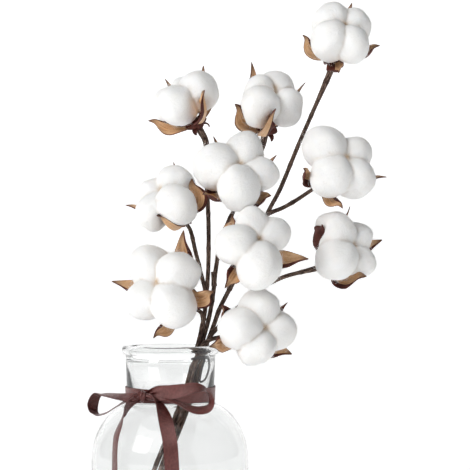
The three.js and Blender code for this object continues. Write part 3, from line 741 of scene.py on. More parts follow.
def burr_material(look):
    """Dry husk: dark and rough outside, smooth golden tan inside, with veins and a dark tip."""
    finish = Finish("Burr husk", look.husk_inner, Roughness=0.6, Specular_IOR_Level=0.3)
    inner, reach, across = (finish.attribute(label) for label in ("inner", "reach", "across"))
    blotch = finish.mottle(130.0, 900.0)
    lengthwise = finish.vector(finish.times(across, 9.0), reach)
    vein = finish.grain(lengthwise, 1.6, (1.0, 1.0, 1.0))
    tan = finish.blend(finish.spread(vein, 0.35, 0.65), look.husk_vein, look.husk_inner)
    tan = finish.blend(finish.times(blotch, 0.35), tan, look.husk_pale)
    tan = finish.blend(finish.spread(reach, 0.72, 1.0), tan, look.husk_tip)
    margin = finish.spread(finish.math("ABSOLUTE", across), 0.84, 0.98)
    tan = finish.blend(finish.times(margin, 0.8), tan, look.husk_red)
    # The dark outer colour also covers one side of each valve's inner face: painted shade where
    # it folds away, together with dark skin
    dark = finish.blend(blotch, look.husk_outer, look.husk_red)
    finish.give("Base Color", finish.blend(finish.spread(inner, 0.35, 0.65), dark, tan))
    finish.give("Roughness", finish.spread(inner, 0.0, 1.0, 0.75, 0.45))
    finish.bump(vein, 0.4, 0.0005)
    return finish.material


# ------------------------------------------------------------------------------------------
# Geometry node trees
# ------------------------------------------------------------------------------------------


def tube_tree(name):
    """Wraps a grooved tube round a line, whose points hold its radius in the number thick."""
    inputs = [
        ("Line", "Geometry", None),
        ("Sides", "Int", 14),
        ("Groove Depth", "Float", 0.0001),
        ("Groove Count", "Float", 1.4),
        ("Groove Run", "Float", 60.0),
        ("Seed", "Float", 0.0),
        ("Finish", "Material", None),
    ]
    output = ("Geometry", "Geometry")
    wiring, given, result = new_tree("GeometryNodeTree", name, inputs, output)
    line = wiring.add("GeometryNodeMeshToCurve", {"Mesh": given["Line"]})
    line = wiring.store(line, "along", wiring.add("GeometryNodeSplineParameter", {}, "Length"))
    circle = wiring.add(
        "GeometryNodeCurvePrimitiveCircle", {"Resolution": given["Sides"], "Radius": 1.0}
    )
    circle = wiring.store(circle, "turn", wiring.add("GeometryNodeSplineParameter", {}, "Factor"))
    tube = wiring.add(
        "GeometryNodeCurveToMesh",
        {
            "Curve": line,
            "Profile Curve": circle,
            "Scale": wiring.marked("thick"),
            "Fill Caps": True,
        },
    )
    angle = wiring.times(wiring.marked("turn"), 2 * math.pi)
    around = (wiring.math("COSINE", angle), wiring.math("SINE", angle))
    grain = wiring.vector(*around, wiring.marked("along"))
    tube = wiring.store(tube, "grain", grain, "FLOAT_VECTOR")
    stretch = wiring.vector(given["Groove Count"], given["Groove Count"], given["Groove Run"])
    groove = wiring.noise(
        wiring.stretched(grain, stretch), 1.0, 3.0, {"W": given["Seed"]}, noise_dimensions="4D"
    )
    depth = wiring.times(wiring.math("SUBTRACT", groove, 0.5), given["Groove Depth"])
    normal = wiring.add("GeometryNodeInputNormal")
    offset = wiring.add("ShaderNodeVectorMath", {0: normal}, operation="SCALE")
    wiring.feed(offset.node.inputs["Scale"], depth)
    moved = wiring.add("GeometryNodeSetPosition", {"Geometry": tube, "Offset": offset})
    wiring.feed(result, wiring.dressed(moved, given["Finish"]))
    return wiring.tree


def fluff_tree(name):
    """Adds short curled fibres that stand out of a lint surface."""
    inputs = [
        ("Lint", "Geometry", None),
        ("Density", "Float", 100000.0),
        ("Fibre Length", "Float", 0.004),
        ("Fibre Radius", "Float", 0.00005),
        ("Seed", "Int", 0),
        ("Finish", "Material", None),
    ]
    output = ("Geometry", "Geometry")
    wiring, given, result = new_tree("GeometryNodeTree", name, inputs, output)
    spots = wiring.add(
        "GeometryNodeDistributePointsOnFaces",
        {
            "Mesh": given["Lint"],
            "Density": wiring.times(given["Density"], wiring.marked("free")),
            "Seed": given["Seed"],
        },
    ).node

    def place(*shares):
        return wiring.vector(*(wiring.times(given["Fibre Length"], share) for share in shares))

    curl = wiring.add(
        "GeometryNodeCurvePrimitiveBezierSegment",
        {
            "Resolution": 4,
            "Start": place(0.0, 0.0, -0.12),
            "Start Handle": place(0.0, 0.05, 0.3),
            "End Handle": place(0.3, 0.1, 0.55),
            "End": place(0.75, 0.0, 0.45),
        },
        mode="POSITION",
    )
    ring = wiring.add(
        "GeometryNodeCurvePrimitiveCircle", {"Resolution": 3, "Radius": given["Fibre Radius"]}
    )
    fibre = wiring.add(
        "GeometryNodeCurveToMesh", {"Curve": curl, "Profile Curve": ring, "Fill Caps": True}
    )
    spin = wiring.add(
        "FunctionNodeRandomValue",
        {0: (-0.5, -0.5, 0.0), 1: (0.5, 0.5, 2 * math.pi), "Seed": given["Seed"]},
        data_type="FLOAT_VECTOR",
    )
    spin = wiring.add("FunctionNodeEulerToRotation", {0: spin})
    lean = wiring.add(
        "FunctionNodeRotateRotation",
        {"Rotation": spots.outputs["Rotation"], "Rotate By": spin},
        rotation_space="LOCAL",
    )
    size = wiring.add(
        "FunctionNodeRandomValue",
        {2: 0.45, 3: 1.25, "Seed": wiring.math("ADD", given["Seed"], 7.0)},
        1,
        data_type="FLOAT",
    )
    points = {"Points": spots.outputs["Points"], "Instance": fibre}
    fibres = wiring.add(
        "GeometryNodeInstanceOnPoints", {**points, "Rotation": lean, "Scale": size}
    )
    whole = wiring.add("GeometryNodeJoinGeometry", {0: given["Lint"]})
    wiring.feed(whole.node.inputs[0], fibres)
    wiring.feed(result, wiring.dressed(whole, given["Finish"]))
    return wiring.tree


def baked(piece, tree, values):
    """Runs a geometry tree on the piece and leaves it with the plain mesh that results."""
    modifier = piece.modifiers.new("Build", "NODES")
    modifier.node_group = tree
    for item in tree.interface.items_tree:
        if item.in_out == "INPUT" and item.name in values:
            modifier[item.identifier] = values[item.name]
    bpy.context.view_layer.update()
    evaluated = piece.evaluated_get(bpy.context.evaluated_depsgraph_get())
    mesh = bpy.data.meshes.new_from_object(evaluated)
    piece.modifiers.clear()
    old = piece.data
    piece.data = mesh
    mesh.name = piece.name
    bpy.data.meshes.remove(old)


# ------------------------------------------------------------------------------------------
# Pieces
# ------------------------------------------------------------------------------------------


def arc(centre, radii, start, end, steps):
    """Points along an arc of an oval, as distances from the axis and heights."""
    angles = np.radians(np.linspace(start, end, steps + 1))
    return [
        (centre[0] + radii[0] * math.cos(a), centre[1] + radii[1] * math.sin(a)) for a in angles
    ]


def shoulder(body, inset, neck):
    """The shoulder's arc from the straight body up to where it meets a neck of a given radius."""
    centre = (body - SHOULDER_RADII[0], SHOULDER_FOOT)
    radii = [radius - inset for radius in SHOULDER_RADII]
    end = math.degrees(math.acos((neck - centre[0]) / radii[0]))
    return arc(centre, radii, 0, end, SHOULDER_STEPS)


def neck_radius(size, height):
    """Outside radius of the neck at a height."""
    rim_foot = size.height / MM - size.rim_height / MM
    share = (height - NECK_FOOT) / (rim_foot - NECK_FOOT)
    low, high = size.neck_foot_radius / MM, size.neck_top_radius / MM
    return low + share * (high - low)


def build_vase(size, material):
    """The bottle: rounded base, straight body, round shoulder, neck and rolled rim."""
    height, body, wall = size.height / MM, size.body_radius / MM, size.wall / MM
    rim_height, rounding, floor = size.rim_height / MM, size.base_rounding / MM, size.floor / MM
    neck_low, neck_top = size.neck_foot_radius / MM, size.neck_top_radius / MM
    rim_foot = height - rim_height
    rim_middle = (neck_top, height - rim_height / 2)
    rim_radii = (size.rim_radius / MM - neck_top, rim_height / 2)
    lip_middle = (neck_top - wall + LIP_RADIUS, height - LIP_RADIUS)
    inner = rounding - wall
    neck = [
        (
            neck_low + (neck_top - neck_low) * k / NECK_STEPS,
            NECK_FOOT + (rim_foot - NECK_FOOT) * k / NECK_STEPS,
        )
        for k in range(1, NECK_STEPS + 1)
    ]
    profile = [
        (0, FOOT_HOLLOW),
        *arc((0, FOOT_HOLLOW + FOOT_CURVE), (FOOT_CURVE, FOOT_CURVE), -90, FOOT_END, 3)[1:],
        (body - rounding - 8, 0),
        *arc((body - rounding, rounding), (rounding, rounding), -90, 0, ARC_STEPS),
        *shoulder(body, 0, neck_low),
        *neck,
        *arc(rim_middle, rim_radii, -60, 90, ARC_STEPS),
        *arc(lip_middle, (LIP_RADIUS, LIP_RADIUS), 90, 180, 5)[1:],
        (neck_top - wall, rim_foot),
        *reversed(shoulder(body, wall, neck_low - wall)),
        *arc((body - rounding, floor + inner), (inner, inner), 0, -90, ARC_STEPS),
        (body - rounding - 10, floor + 0.1),
        (20, floor + 1.2),
        (0, floor + 1.6),
    ]
    fit(make_piece("glass_vase", *spun(profile, size.segments), material), "vase")


def strip(rows, width, thickness, steps, bow, pleats):
    """Points, faces and uv of a thin closed strip of cloth along its rows."""
    shares = np.linspace(0, 1, steps + 1)
    middle = smooth_curve([row[0] for row in rows], shares)
    along = unit(np.gradient(middle, axis=0))
    side = smooth_curve(unit([row[1] for row in rows]), shares)
    side = unit(side - along * np.sum(side * along, axis=1, keepdims=True))
    width_share = smooth_run([row[2] for row in rows], shares)
    gathered = np.clip(1 - width_share, 0, 0.5)[:, None]
    across = np.linspace(-1, 1, STRIP_CELLS + 1)
    lift = bow * (across**2 - 0.33) + pleats * gathered * np.sin(across * 7)
    edge = thickness / 2 * (1 - 0.35 * across**8)
    points, faces = thin_sheet(
        middle, side, np.cross(along, side), width / 2 * width_share, lift - edge, lift + edge
    )
    places = there_and_back(across)
    uv = [(run / width, (place + 1) / 2) for run in length_along(middle) for place in places]
    return points, faces, uv


def closed_band(place_at, thickness):
    """Points, faces and uv of a closed band, from a function of its turn and place across."""
    across = np.linspace(-1, 1, BAND_CELLS + 1)
    points, uv = [], []
    for index in range(BAND_STEPS):
        angle = 2 * math.pi * index / BAND_STEPS
        points += [place_at(angle, place, -thickness / 2) for place in across]
        points += [place_at(angle, place, thickness / 2) for place in across[::-1]]
        uv += [(index / 4, (place + 1) / 2) for place in there_and_back(across)]
    return points, ring_faces(BAND_STEPS, 2 * (BAND_CELLS + 1), closed=True), uv


def build_ribbon(size, vase, material):
    """The satin bow: a band round the neck, a knot, two loops and two tails."""
    width, thickness = size.width / MM, size.thickness / MM
    c, s = math.cos(KNOT_TILT), math.sin(KNOT_TILT)

    def round_neck(angle, across, out):
        height = RIBBON_HEIGHT + across * width / 2
        ripple = NECK_RIPPLE * math.sin(3 * angle + 2 * across) * math.sin(7 * angle)
        radius = neck_radius(vase, height) + GAP + thickness + out + abs(ripple)
        return (radius * math.cos(angle), radius * math.sin(angle), height + ripple)

    def round_knot(angle, across, out):
        radius = 1 + (KNOT_FOLD * math.cos(across * 8) + out) / 6
        x = across * KNOT_HALVES[0] * (1 + 0.15 * math.cos(2 * angle))
        y = -math.cos(angle) * KNOT_HALVES[1] * radius
        z = math.sin(angle) * KNOT_HALVES[2] * radius
        return (
            KNOT_CENTRE[0] + x * c + z * s,
            KNOT_CENTRE[1] + y,
            KNOT_CENTRE[2] - x * s + z * c,
        )

    parts = [closed_band(round_neck, thickness), closed_band(round_knot, thickness)]
    strips = [(LEFT_LOOP, LOOP_STEPS), (RIGHT_LOOP, LOOP_STEPS)]
    strips += [(LEFT_TAIL, TAIL_STEPS), (RIGHT_TAIL, TAIL_STEPS)]
    for rows, steps in strips:
        parts.append(strip(rows, width, thickness, steps, size.bow / MM, PLEAT_DEPTH))
    points, faces, uv = joined(parts)
    piece = make_piece("satin_bow", points, faces, material, uv=uv, sharp=50)
    fit(piece, "ribbon")


def boll_frame(boll):
    """Where the boll is and the three directions of its own axes."""
    at, up, turn, size = boll
    axis = unit(up)
    right = unit(np.array((1, 0, 0)) - axis * axis[0])
    top = np.cross(axis, right)
    c, s = math.cos(math.radians(turn)), math.sin(math.radians(turn))
    return np.array(at, float), np.array((right * c + top * s, top * c - right * s, axis)) * size


def valve_path(out, rise):
    """Distance out from the axis and height along it, from the cup to the tip of a valve."""
    start = np.array(VALVE_ROOT[-1], float)
    way = np.array((out, rise)) - start
    bulge = np.array((way[1], -way[0])) / np.linalg.norm(way)
    return VALVE_ROOT + [tuple(start + way * share + bulge * lift) for share, lift in VALVE_BELLY]


def valve(row, dark, worn, angle, size, ripple):
    """One valve in boll coordinates: a thin pointed boat with a septum down its inner face.

    A worn one is bare outside as well, and ripple shifts the waves of its edges.
    """
    _, out, rise, twist, width = row
    side = math.copysign(1, dark)
    shares = np.linspace(0, 1, VALVE_STEPS + 1)
    middle = smooth_curve([(a, 0, high) for a, high in valve_path(out, rise)], shares)
    along = unit(np.gradient(middle, axis=0))
    turning = twist * np.clip(shares / TWIST_END, 0, 1)
    outward = np.stack([along[:, 2], 0 * shares, -along[:, 0]], axis=1)
    outward = turned(outward, along, turning)
    sideways = turned(np.tile((0.0, 1.0, 0.0), (len(shares), 1)), along, turning)
    taper = np.maximum(smooth_run(VALVE_TAPER, shares), 0.04)[:, None]
    share, across = shares[:, None], np.linspace(-1, 1, VALVE_CELLS + 1)
    half = VALVE_WIDTH / 2 * width * taper
    hollow = size.valve_hollow * 2 * half * np.abs(across) ** 1.5
    curl = size.valve_curl * half * np.maximum(np.abs(across) - CURL_START, 0) ** 1.5
    wave = EDGE_WAVE * np.sin(share * 11 + across * 2 + ripple) * across**2 * taper
    folded = EDGE_FOLD * min(abs(dark), 1) * half * np.clip(side * across, 0, 1)
    form = -hollow + curl * 4 + wave - folded
    septum = SEPTUM[0] * np.exp(-((across * half / SEPTUM[1]) ** 2))
    septum = septum * np.clip(share * 6, 0, 1) * taper
    groove = MIDRIB[0] * np.exp(-((across * half / MIDRIB[1]) ** 2))
    edge = SKIN * (0.5 + 0.5 * taper) * (1 - 0.55 * across**6)
    points, faces = thin_sheet(
        middle, sideways, outward, half[:, 0], form + edge - groove, form - edge - septum
    )
    # Past the bare part the inner face takes the dark outer colour: painted shade on the folded
    # side, together with dark skin
    bare = (1 - side * across) / 2 > abs(dark) / 2
    skins = list(zip([*(bare & worn), *bare[::-1]], there_and_back(across)))
    numbers = [(inner, reach, place) for reach in shares for inner, place in skins]
    c, s = math.cos(angle), math.sin(angle)
    return points @ np.array(((c, s, 0), (-s, c, 0), (0, 0, 1))), faces, numbers


def cup():
    """The cup under the lint in boll coordinates, with the lobes of the dried flower base."""
    profile = [
        (0, CUP_BOTTOM - 0.1),
        (3.6, CUP_BOTTOM),
        (4.6, CUP_BOTTOM + 0.6),
        (5.5, CUP_BOTTOM + 2),
        (8.4, CUP_BOTTOM + 3.6),
        (CUP_RADIUS, CUP_BOTTOM + 5.2),
        (CUP_RADIUS - 0.6, CUP_BOTTOM + 7),
        (CUP_RADIUS - 2.2, -18),
        (4, -19),
        (0, -19.4),
    ]
    points, faces = spun(profile, CUP_SEGMENTS, CUP_LOBES)
    return points, faces, [(0, 0, 0)] * len(points)


def bract(angle, width):
    """One dried bract under the cup in boll coordinates, curled down over the stalk."""
    c, s = math.cos(angle), math.sin(angle)
    rows = [
        ((out * c, out * s, CUP_BOTTOM + rise), (-s, c, 0), share) for out, rise, share in BRACT
    ]
    points, faces, _ = strip(rows, width, thickness=0.6, steps=10, bow=0.7, pleats=0)
    return points, faces, [(0, 0.5, 0)] * len(points)


def build_burr(number, size, material):
    """The dried capsule of one boll. Returns its points and faces in boll coordinates."""
    parts = [cup()]
    for k, row in enumerate(VALVES[number - 1]):
        angle = math.radians(45 + 90 * k + row[0])
        worn = (number, k) in WORN_OUTSIDE
        parts.append(valve(row, DARK_SKIN_AND_SHADE[number - 1][k], worn, angle, size, number + 2 * k))
    for k in range(BRACT_COUNT):
        angle = math.radians(360 / BRACT_COUNT * k + 47 * number)
        parts.append(bract(angle, BRACT_WIDTH + (number + k) % BRACT_COUNT))
    points, faces, numbers = joined(parts)
    at, axes = boll_frame(BOLLS[number - 1])
    piece = make_piece(
        f"boll_burr_{number:02d}",
        np.array(points) @ axes + at,
        faces,
        material,
        numbers=dict(zip(("inner", "reach", "across"), np.array(numbers, float).T)),
        sharp=65,
    )
    fit(piece, f"burr_{number:02d}")
    return points, faces


def even_ball(cells):
    """Directions and faces of a ball made from the six sides of a cube."""
    grid = np.tan(np.linspace(-1, 1, cells + 1) * math.pi / 4)
    found, points, faces = {}, [], []
    for axis in range(3):
        for way in (-1, 1):
            index = np.zeros((cells + 1, cells + 1), int)
            for i, u in enumerate(grid):
                for j, v in enumerate(grid):
                    place = [0.0, 0.0, 0.0]
                    place[axis], place[(axis + 1) % 3], place[(axis + 2) % 3] = way, u, v
                    key = tuple(round(value * 1e5) for value in place)
                    if key not in found:
                        found[key] = len(points)
                        points.append(place)
                    index[i, j] = found[key]
            for i in range(cells):
                for j in range(cells):
                    face = (index[i, j], index[i + 1, j], index[i + 1, j + 1], index[i, j + 1])
                    faces.append(face if way > 0 else face[::-1])
    return unit(points), faces


def neighbour_means(faces, count):
    """A function that replaces every point's number by the mean of its neighbours' numbers."""
    quads = np.array(faces)
    pairs = np.concatenate([quads[:, [k, (k + 1) % 4]] for k in range(4)])
    pairs = np.concatenate([pairs, pairs[:, ::-1]])
    total = np.bincount(pairs[:, 0], minlength=count)

    def mean(values, times=1):
        for _ in range(times):
            sums = np.bincount(pairs[:, 0], weights=values[pairs[:, 1]], minlength=count)
            values = sums / total
        return values

    return mean


def lock_reach(rays, locks):
    """How far each ray from the boll's middle runs in each of its four locks."""
    reaches = []
    for k, (turn, outermost, swell, lift) in enumerate(locks):
        angle = math.radians(90 * k + turn)
        out = np.array((math.cos(angle), math.sin(angle), 0))
        side = np.array((-math.sin(angle), math.cos(angle), 0))
        up = np.array((0.0, 0.0, 1.0))
        half = (outermost + LOCK_OVERLAP) / 2
        middle = out * (outermost - half) + up * lift
        radii = [half] + [radius * swell for radius in LOCK_RADII]
        step = np.stack([rays @ d / r for d, r in zip((out, side, up), radii)], axis=1)
        start = np.array([middle @ d / r for d, r in zip((out, side, up), radii)])
        a, b = np.sum(step**2, axis=1), step @ start
        root = b * b - a * (start @ start - 1)
        reaches.append(np.where(root > 0, (b + np.sqrt(np.maximum(root, 0))) / a, 0))
    return np.array(reaches)


def rough_reach(rays, number, size):
    """How far the lint of one boll reaches on each ray, before its valves press it in."""
    reaches = lock_reach(rays, LOCKS[number - 1])
    soft = size.furrow_softness / MM
    tallest = np.maximum(reaches.max(axis=0), CORE_RADIUS)
    spread = np.exp((reaches - tallest) / soft).sum(axis=0)
    spread = spread + np.exp((CORE_RADIUS - tallest) / soft)
    reach = tallest + soft * (np.log(spread) - math.log(2) * FURROW_SHARE)
    shift = Vector((number * 7.3, number * 3.1, number * 5.7))
    lumps, tufts = [], []
    for ray, lock in zip(rays, np.argmax(reaches, axis=0)):
        own_lock = Vector((0, 0, 9.0 * lock))
        lumps.append(noise.noise(Vector(ray) * LUMP_SCALE + shift + own_lock))
        tufts.append(noise.fractal(Vector(ray) * TUFT_SCALE + shift, *TUFT_NOISE))
    lumps, tufts = np.array(lumps), np.array(tufts)
    return reach + size.lump_height / MM * lumps + size.tuft_height / MM * tufts


def valve_limit(rays, burr):
    """How far the lint may reach on each ray before it meets the burr."""
    points, faces = burr
    wall = BVHTree.FromPolygons([tuple(p) for p in points], faces)
    distances = (wall.ray_cast(Vector(), Vector(ray), RAY_LENGTH)[3] for ray in rays)
    return np.array([NO_LIMIT if far is None else far - PRESS_GAP for far in distances])


def build_lint(number, size, ball, burr, material):
    """The four locks of one boll, pressed in where the valves hold them, with their fluff."""
    rays, faces, mean = ball
    free = reach = rough_reach(rays, number, size)
    limit = valve_limit(rays, burr)
    for _ in range(PRESS_ROUNDS):
        dent = mean(free - np.minimum(reach, limit), 2)
        reach = np.minimum(free - dent, limit)
    reach = np.maximum(reach, LEAST_REACH)
    smoothed = mean(reach, 2)
    held = (limit - reach < FIBRE_CLEARANCE).astype(float)
    off_axis = np.sum((rays[:, :2] * reach[:, None]) ** 2, axis=1)
    # The first two numbers mask painted shade: in the furrows, and at the heart where the locks
    # meet
    numbers = {
        "painted_shade": np.clip((mean(smoothed, 4) - smoothed) * 1.3 - 0.05, 0, 1),
        "heart": np.exp(-off_axis / HEART_SPREAD) * (rays[:, 2] > 0),
        "free": mean(held, 2) < 0.01,
    }
    at, axes = boll_frame(BOLLS[number - 1])
    places = (rays * reach[:, None]) @ axes + at
    piece = make_piece(f"boll_lint_{number:02d}", places, faces, material, numbers=numbers)
    values = {
        "Density": size.fibre_density,
        "Fibre Length": size.fibre_length,
        "Fibre Radius": size.fibre_radius,
        "Seed": number,
        "Finish": material,
    }
    baked(piece, shared("Lint fluff", fluff_tree), values)
    fit(piece, f"cotton_{number:02d}")


def foot_of(number, below):
    """A place on a boll's axis, below the bottom of its cup."""
    at, up, _, size = BOLLS[number - 1]
    return tuple(np.array(at, float) + unit(up) * (CUP_BOTTOM * size - below))


def bundle_path(turn):
    """The way of one twig through the tied bundle."""
    path = []
    for index, ((x, y, height), spread) in enumerate(BUNDLE):
        angle = math.radians(turn + BUNDLE_TWIST * (len(BUNDLE) - 1 - index))
        radius = TIE_SPACING * spread
        path.append((x + radius * math.cos(angle), y + radius * math.sin(angle), height))
    return path


def tubes(name, runs, material, **values):
    """Grooved tubes round open lines, each with its radii, as one piece."""
    points, edges, thick = [], [], []
    for line, radii in runs:
        start = len(points)
        points += list(line)
        edges += [(start + k, start + k + 1) for k in range(len(line) - 1)]
        thick += list(radii)
    mesh = bpy.data.meshes.new(name)
    mesh.from_pydata([tuple(p) for p in np.array(points) * MM], edges, [])
    mark(mesh, "thick", np.array(thick, np.float32) * MM)
    piece = make_object(name, mesh)
    values = {label.replace("_", " "): value for label, value in values.items()}
    baked(piece, shared("Grooved tube", tube_tree), {**values, "Finish": material})
    return piece


def twig_radii(count, radius, stalk, seed, collar):
    """Radii along a twig, which thins upwards, swells under its boll and has low knobs."""
    share = np.linspace(0, 1, count)
    plain = radius * (1 + TWIG_TAPER * (0.5 - share))
    swell = np.clip(1 - (1 - share) / SWELL_SHARE, 0, 1)
    radii = np.maximum(plain, plain + (stalk - plain) * swell)
    random = random_stream(seed)
    run = np.arange(count) * TWIG_STEP

    def drawn(least, more):
        """The least value with a random share of more on top."""
        return least + more * next(random)

    place = drawn(*FIRST_KNOB)
    while place < run[-1] - LAST_KNOB:
        knob = np.exp(-(((run - place) / KNOB_WIDTH) ** 2))
        radii = radii * (1 + drawn(*KNOB_HEIGHT) * knob)
        place += drawn(*NEXT_KNOB)
    if collar:
        radii = radii * (1 + COLLAR_HEIGHT * np.exp(-((run / COLLAR_WIDTH) ** 2)))
    return radii


def build_twigs(size, material):
    """The five branching twigs, each a bundle of tubes that grow out of one another."""

    def grown(path, boll, radius, seed, collar):
        """A line up to the foot of a boll, or to a dry end, and its radii."""
        if boll:
            path = [*path, foot_of(boll, STALK_BEND), foot_of(boll, GAP)]
        line = even_curve(path, TWIG_STEP)
        stalk = size.stalk_radius / MM * BOLLS[boll - 1][3] if boll else 0
        return line, twig_radii(len(line), radius / MM, stalk, seed, collar)

    for order, (node, turn, way, top, limbs) in enumerate(TWIGS):
        path = [*bundle_path(turn), *way]
        runs = [grown(path, top, size.twig_radius, 10 + order, collar=False)]
        for index, (boll, limb) in enumerate(limbs):
            seed = 50 + 5 * order + index
            runs.append(grown(limb, boll, size.limb_radius, seed, collar=True))
        piece = tubes(
            "twig" + node[4:],
            runs,
            material,
            Sides=14,
            Groove_Depth=size.groove_depth,
            Groove_Count=1.5,
            Groove_Run=70.0,
            Seed=float(order),
        )
        fit(piece, node)


def build_wire(size, material):
    """Two turns of wire round the twigs and a loose loop that hangs beside them."""
    coil_radius = TIE_SPACING + (size.twig_radius + size.wire_radius) / MM + 3 * GAP
    turns = np.linspace(0, COIL_TURNS, COIL_STEPS + 1)
    coil = np.array(TIE_CENTRE) + np.stack(
        [
            coil_radius * np.cos(2 * math.pi * turns),
            coil_radius * np.sin(2 * math.pi * turns),
            COIL_RISE * (1 - turns),
        ],
        axis=1,
    )
    lines = (coil, even_curve(WIRE_LOOP, 1.0))
    piece = tubes(
        "binding_wire",
        [(line, np.full(len(line), size.wire_radius / MM)) for line in lines],
        material,
        Sides=10,
        Groove_Depth=0.00008,
        Groove_Count=0.8,
        Groove_Run=900.0,
        Seed=3.0,
    )
    fit(piece, "wire_tie")


# ------------------------------------------------------------------------------------------
# Stage
# ------------------------------------------------------------------------------------------


def build_sweep(stage):
    """A pale sweep of floor and wall."""
    floor_end, wall_bend, wall_top, half_width, near_end = 2.6, 0.9, 4.5, 5.0, -4.0
    bend = [
        (floor_end + wall_bend * math.sin(a), wall_bend * (1 - math.cos(a)))
        for a in np.linspace(0, math.pi / 2, 17)
    ]
    profile = [(near_end, 0.0), *bend, (floor_end + wall_bend, wall_top)]
    points = [(x, y, z - 0.0003) for y, z in profile for x in (-half_width, half_width)]
    faces = [(2 * k, 2 * k + 1, 2 * k + 3, 2 * k + 2) for k in range(len(profile) - 1)]
    finish = Finish(
        "Pale paper",
        stage.paper,
        Roughness=0.9,
        Emission_Strength=stage.paper_glow,
        Emission_Color=(1, 1, 1, 1),
    )
    tooth = finish.noise(finish.place(), 3.0, 2.0)
    finish.give("Base Color", finish.blend(tooth, stage.paper, (0.97, 0.97, 0.97)))
    make_piece("paper_sweep", np.array(points) / MM, faces, finish.material)


def light_room(stage):
    """The room's light, a window, two panes that only gloss shows, and two soft panels."""
    world = bpy.data.worlds.new("Soft room")
    world.use_nodes = True
    wiring = Wiring(world.node_tree)
    sky = world.node_tree.nodes["Background"]
    sky.inputs["Color"].default_value = colour(stage.room)
    diffuse = wiring.add("ShaderNodeLightPath", output="Is Diffuse Ray")
    strength = wiring.spread(diffuse, 0.0, 1.0, stage.room_seen, stage.room_strength)
    wiring.feed(sky.inputs["Strength"], strength)
    bpy.context.scene.world = world

    lamps = (
        ("Key window", (-2.4, -2.4, 2.1), stage.key_power, (1.8, 1.8)),
        ("Left pane", (-3.3, -1.5, 3.0), stage.pane_power, (2.2, 3.2)),
        ("Right pane", (-1.5, -3.3, 3.0), stage.pane_power, (2.2, 3.2)),
        ("Fill panel", (1.6, -1.2, 0.9), stage.fill_power, (1.4, 1.4)),
        ("Top panel", (0.2, 0.5, 2.0), stage.top_power, (1.6, 1.6)),
    )
    middle_of_bunch = Vector((0.06, 0.0, 0.27))
    for name, at, power, sides in lamps:
        lamp = bpy.data.lights.new(name, "AREA")
        lamp.shape = "RECTANGLE"
        lamp.energy = power
        lamp.size, lamp.size_y = sides
        holder = make_object(name, lamp)
        holder.visible_glossy = name != "Key window"
        holder.visible_diffuse = "pane" not in name
        holder.location = at
        aim = middle_of_bunch - Vector(at)
        holder.rotation_euler = aim.to_track_quat("-Z", "Y").to_euler()


def place_camera(stage):
    """The camera, and colours that are shown as they are."""
    lens = bpy.data.cameras.new("Camera")
    lens.sensor_width = 36.0
    lens.angle = stage.camera_angle
    lens.clip_end = 50
    camera = make_object("Camera", lens)
    camera.location = stage.camera_at
    camera.rotation_euler = (math.pi / 2 + stage.camera_tilt, 0, 0)
    bpy.context.scene.camera = camera
    bpy.context.scene.view_settings.view_transform = "Standard"
    bpy.context.scene.view_settings.look = "None"


# ------------------------------------------------------------------------------------------
# Settings
# ------------------------------------------------------------------------------------------


def amount(name, description, value, **more):
    """A setting that is a plain number."""
    return bpy.props.FloatProperty(name=name, description=description, default=value, **more)


def whole(name, description, value, low, high):
    """A setting that is a whole number."""
    return bpy.props.IntProperty(
        name=name, description=description, default=value, min=low, max=high
    )


def length(name, description, value):
    """A length setting with its default in millimetres."""
    return amount(name, description, value * MM, min=0, unit="LENGTH", precision=5)


def power(name, description, value):
    """The power of a lamp in watts."""
    return amount(name, description, value, min=0, unit="POWER")


def slant(name, description, degrees):
    """An angle setting."""
    return amount(name, description, math.radians(degrees), unit="ROTATION")


def tone(name, description, value):
    """A colour setting."""
    return bpy.props.FloatVectorProperty(
        name=name,
        description=description,
        default=value,
        size=3,
        min=0,
        max=1,
        subtype="COLOR",
    )


def group(kind, name, description):
    """A group of settings."""
    return bpy.props.PointerProperty(type=kind, name=name, description=description)


class VaseSize(bpy.types.PropertyGroup):
    """Sizes of the glass bottle"""

    height: length("Height", "From the table to the top of the rim", 195)
    body_radius: length("Body Radius", "Outside radius of the straight body", 66)
    base_rounding: length("Base Rounding", "Radius of the bottom edge", 12)
    neck_foot_radius: length("Neck Foot Radius", "Outside radius where the neck starts", 36.5)
    neck_top_radius: length("Neck Top Radius", "Outside radius under the rim", 38)
    rim_radius: length("Rim Radius", "Outside radius of the rolled rim", 41.2)
    rim_height: length("Rim Height", "Height of the rolled rim", 7.6)
    wall: length("Wall", "Thickness of the glass", 2.8)
    floor: length("Floor", "Thickness of the glass under the twigs", 6)
    segments: whole("Segments", "Faces round the bottle", 160, 24, 400)


class RibbonSize(bpy.types.PropertyGroup):
    """Sizes of the satin ribbon"""

    width: length("Width", "Width of the ribbon", 11.5)
    thickness: length("Thickness", "Thickness of the cloth", 0.5)
    length: length("Length", "Length that the ribbon was cut to", 770)
    bow: length("Bow", "How much the strip curves across its width", 0.5)


class TwigSize(bpy.types.PropertyGroup):
    """Sizes of the twigs and the wire"""

    twig_radius: length("Twig Radius", "Mean radius of a twig", 1.9)
    limb_radius: length("Limb Radius", "Mean radius of a limb", 1.75)
    stalk_radius: length("Stalk Radius", "Radius just under a boll of size 1", 3.1)
    groove_depth: length("Groove Depth", "Depth of the grooves in the bark", 0.45)
    wire_radius: length("Wire Radius", "Radius of the wrapped wire", 0.8)


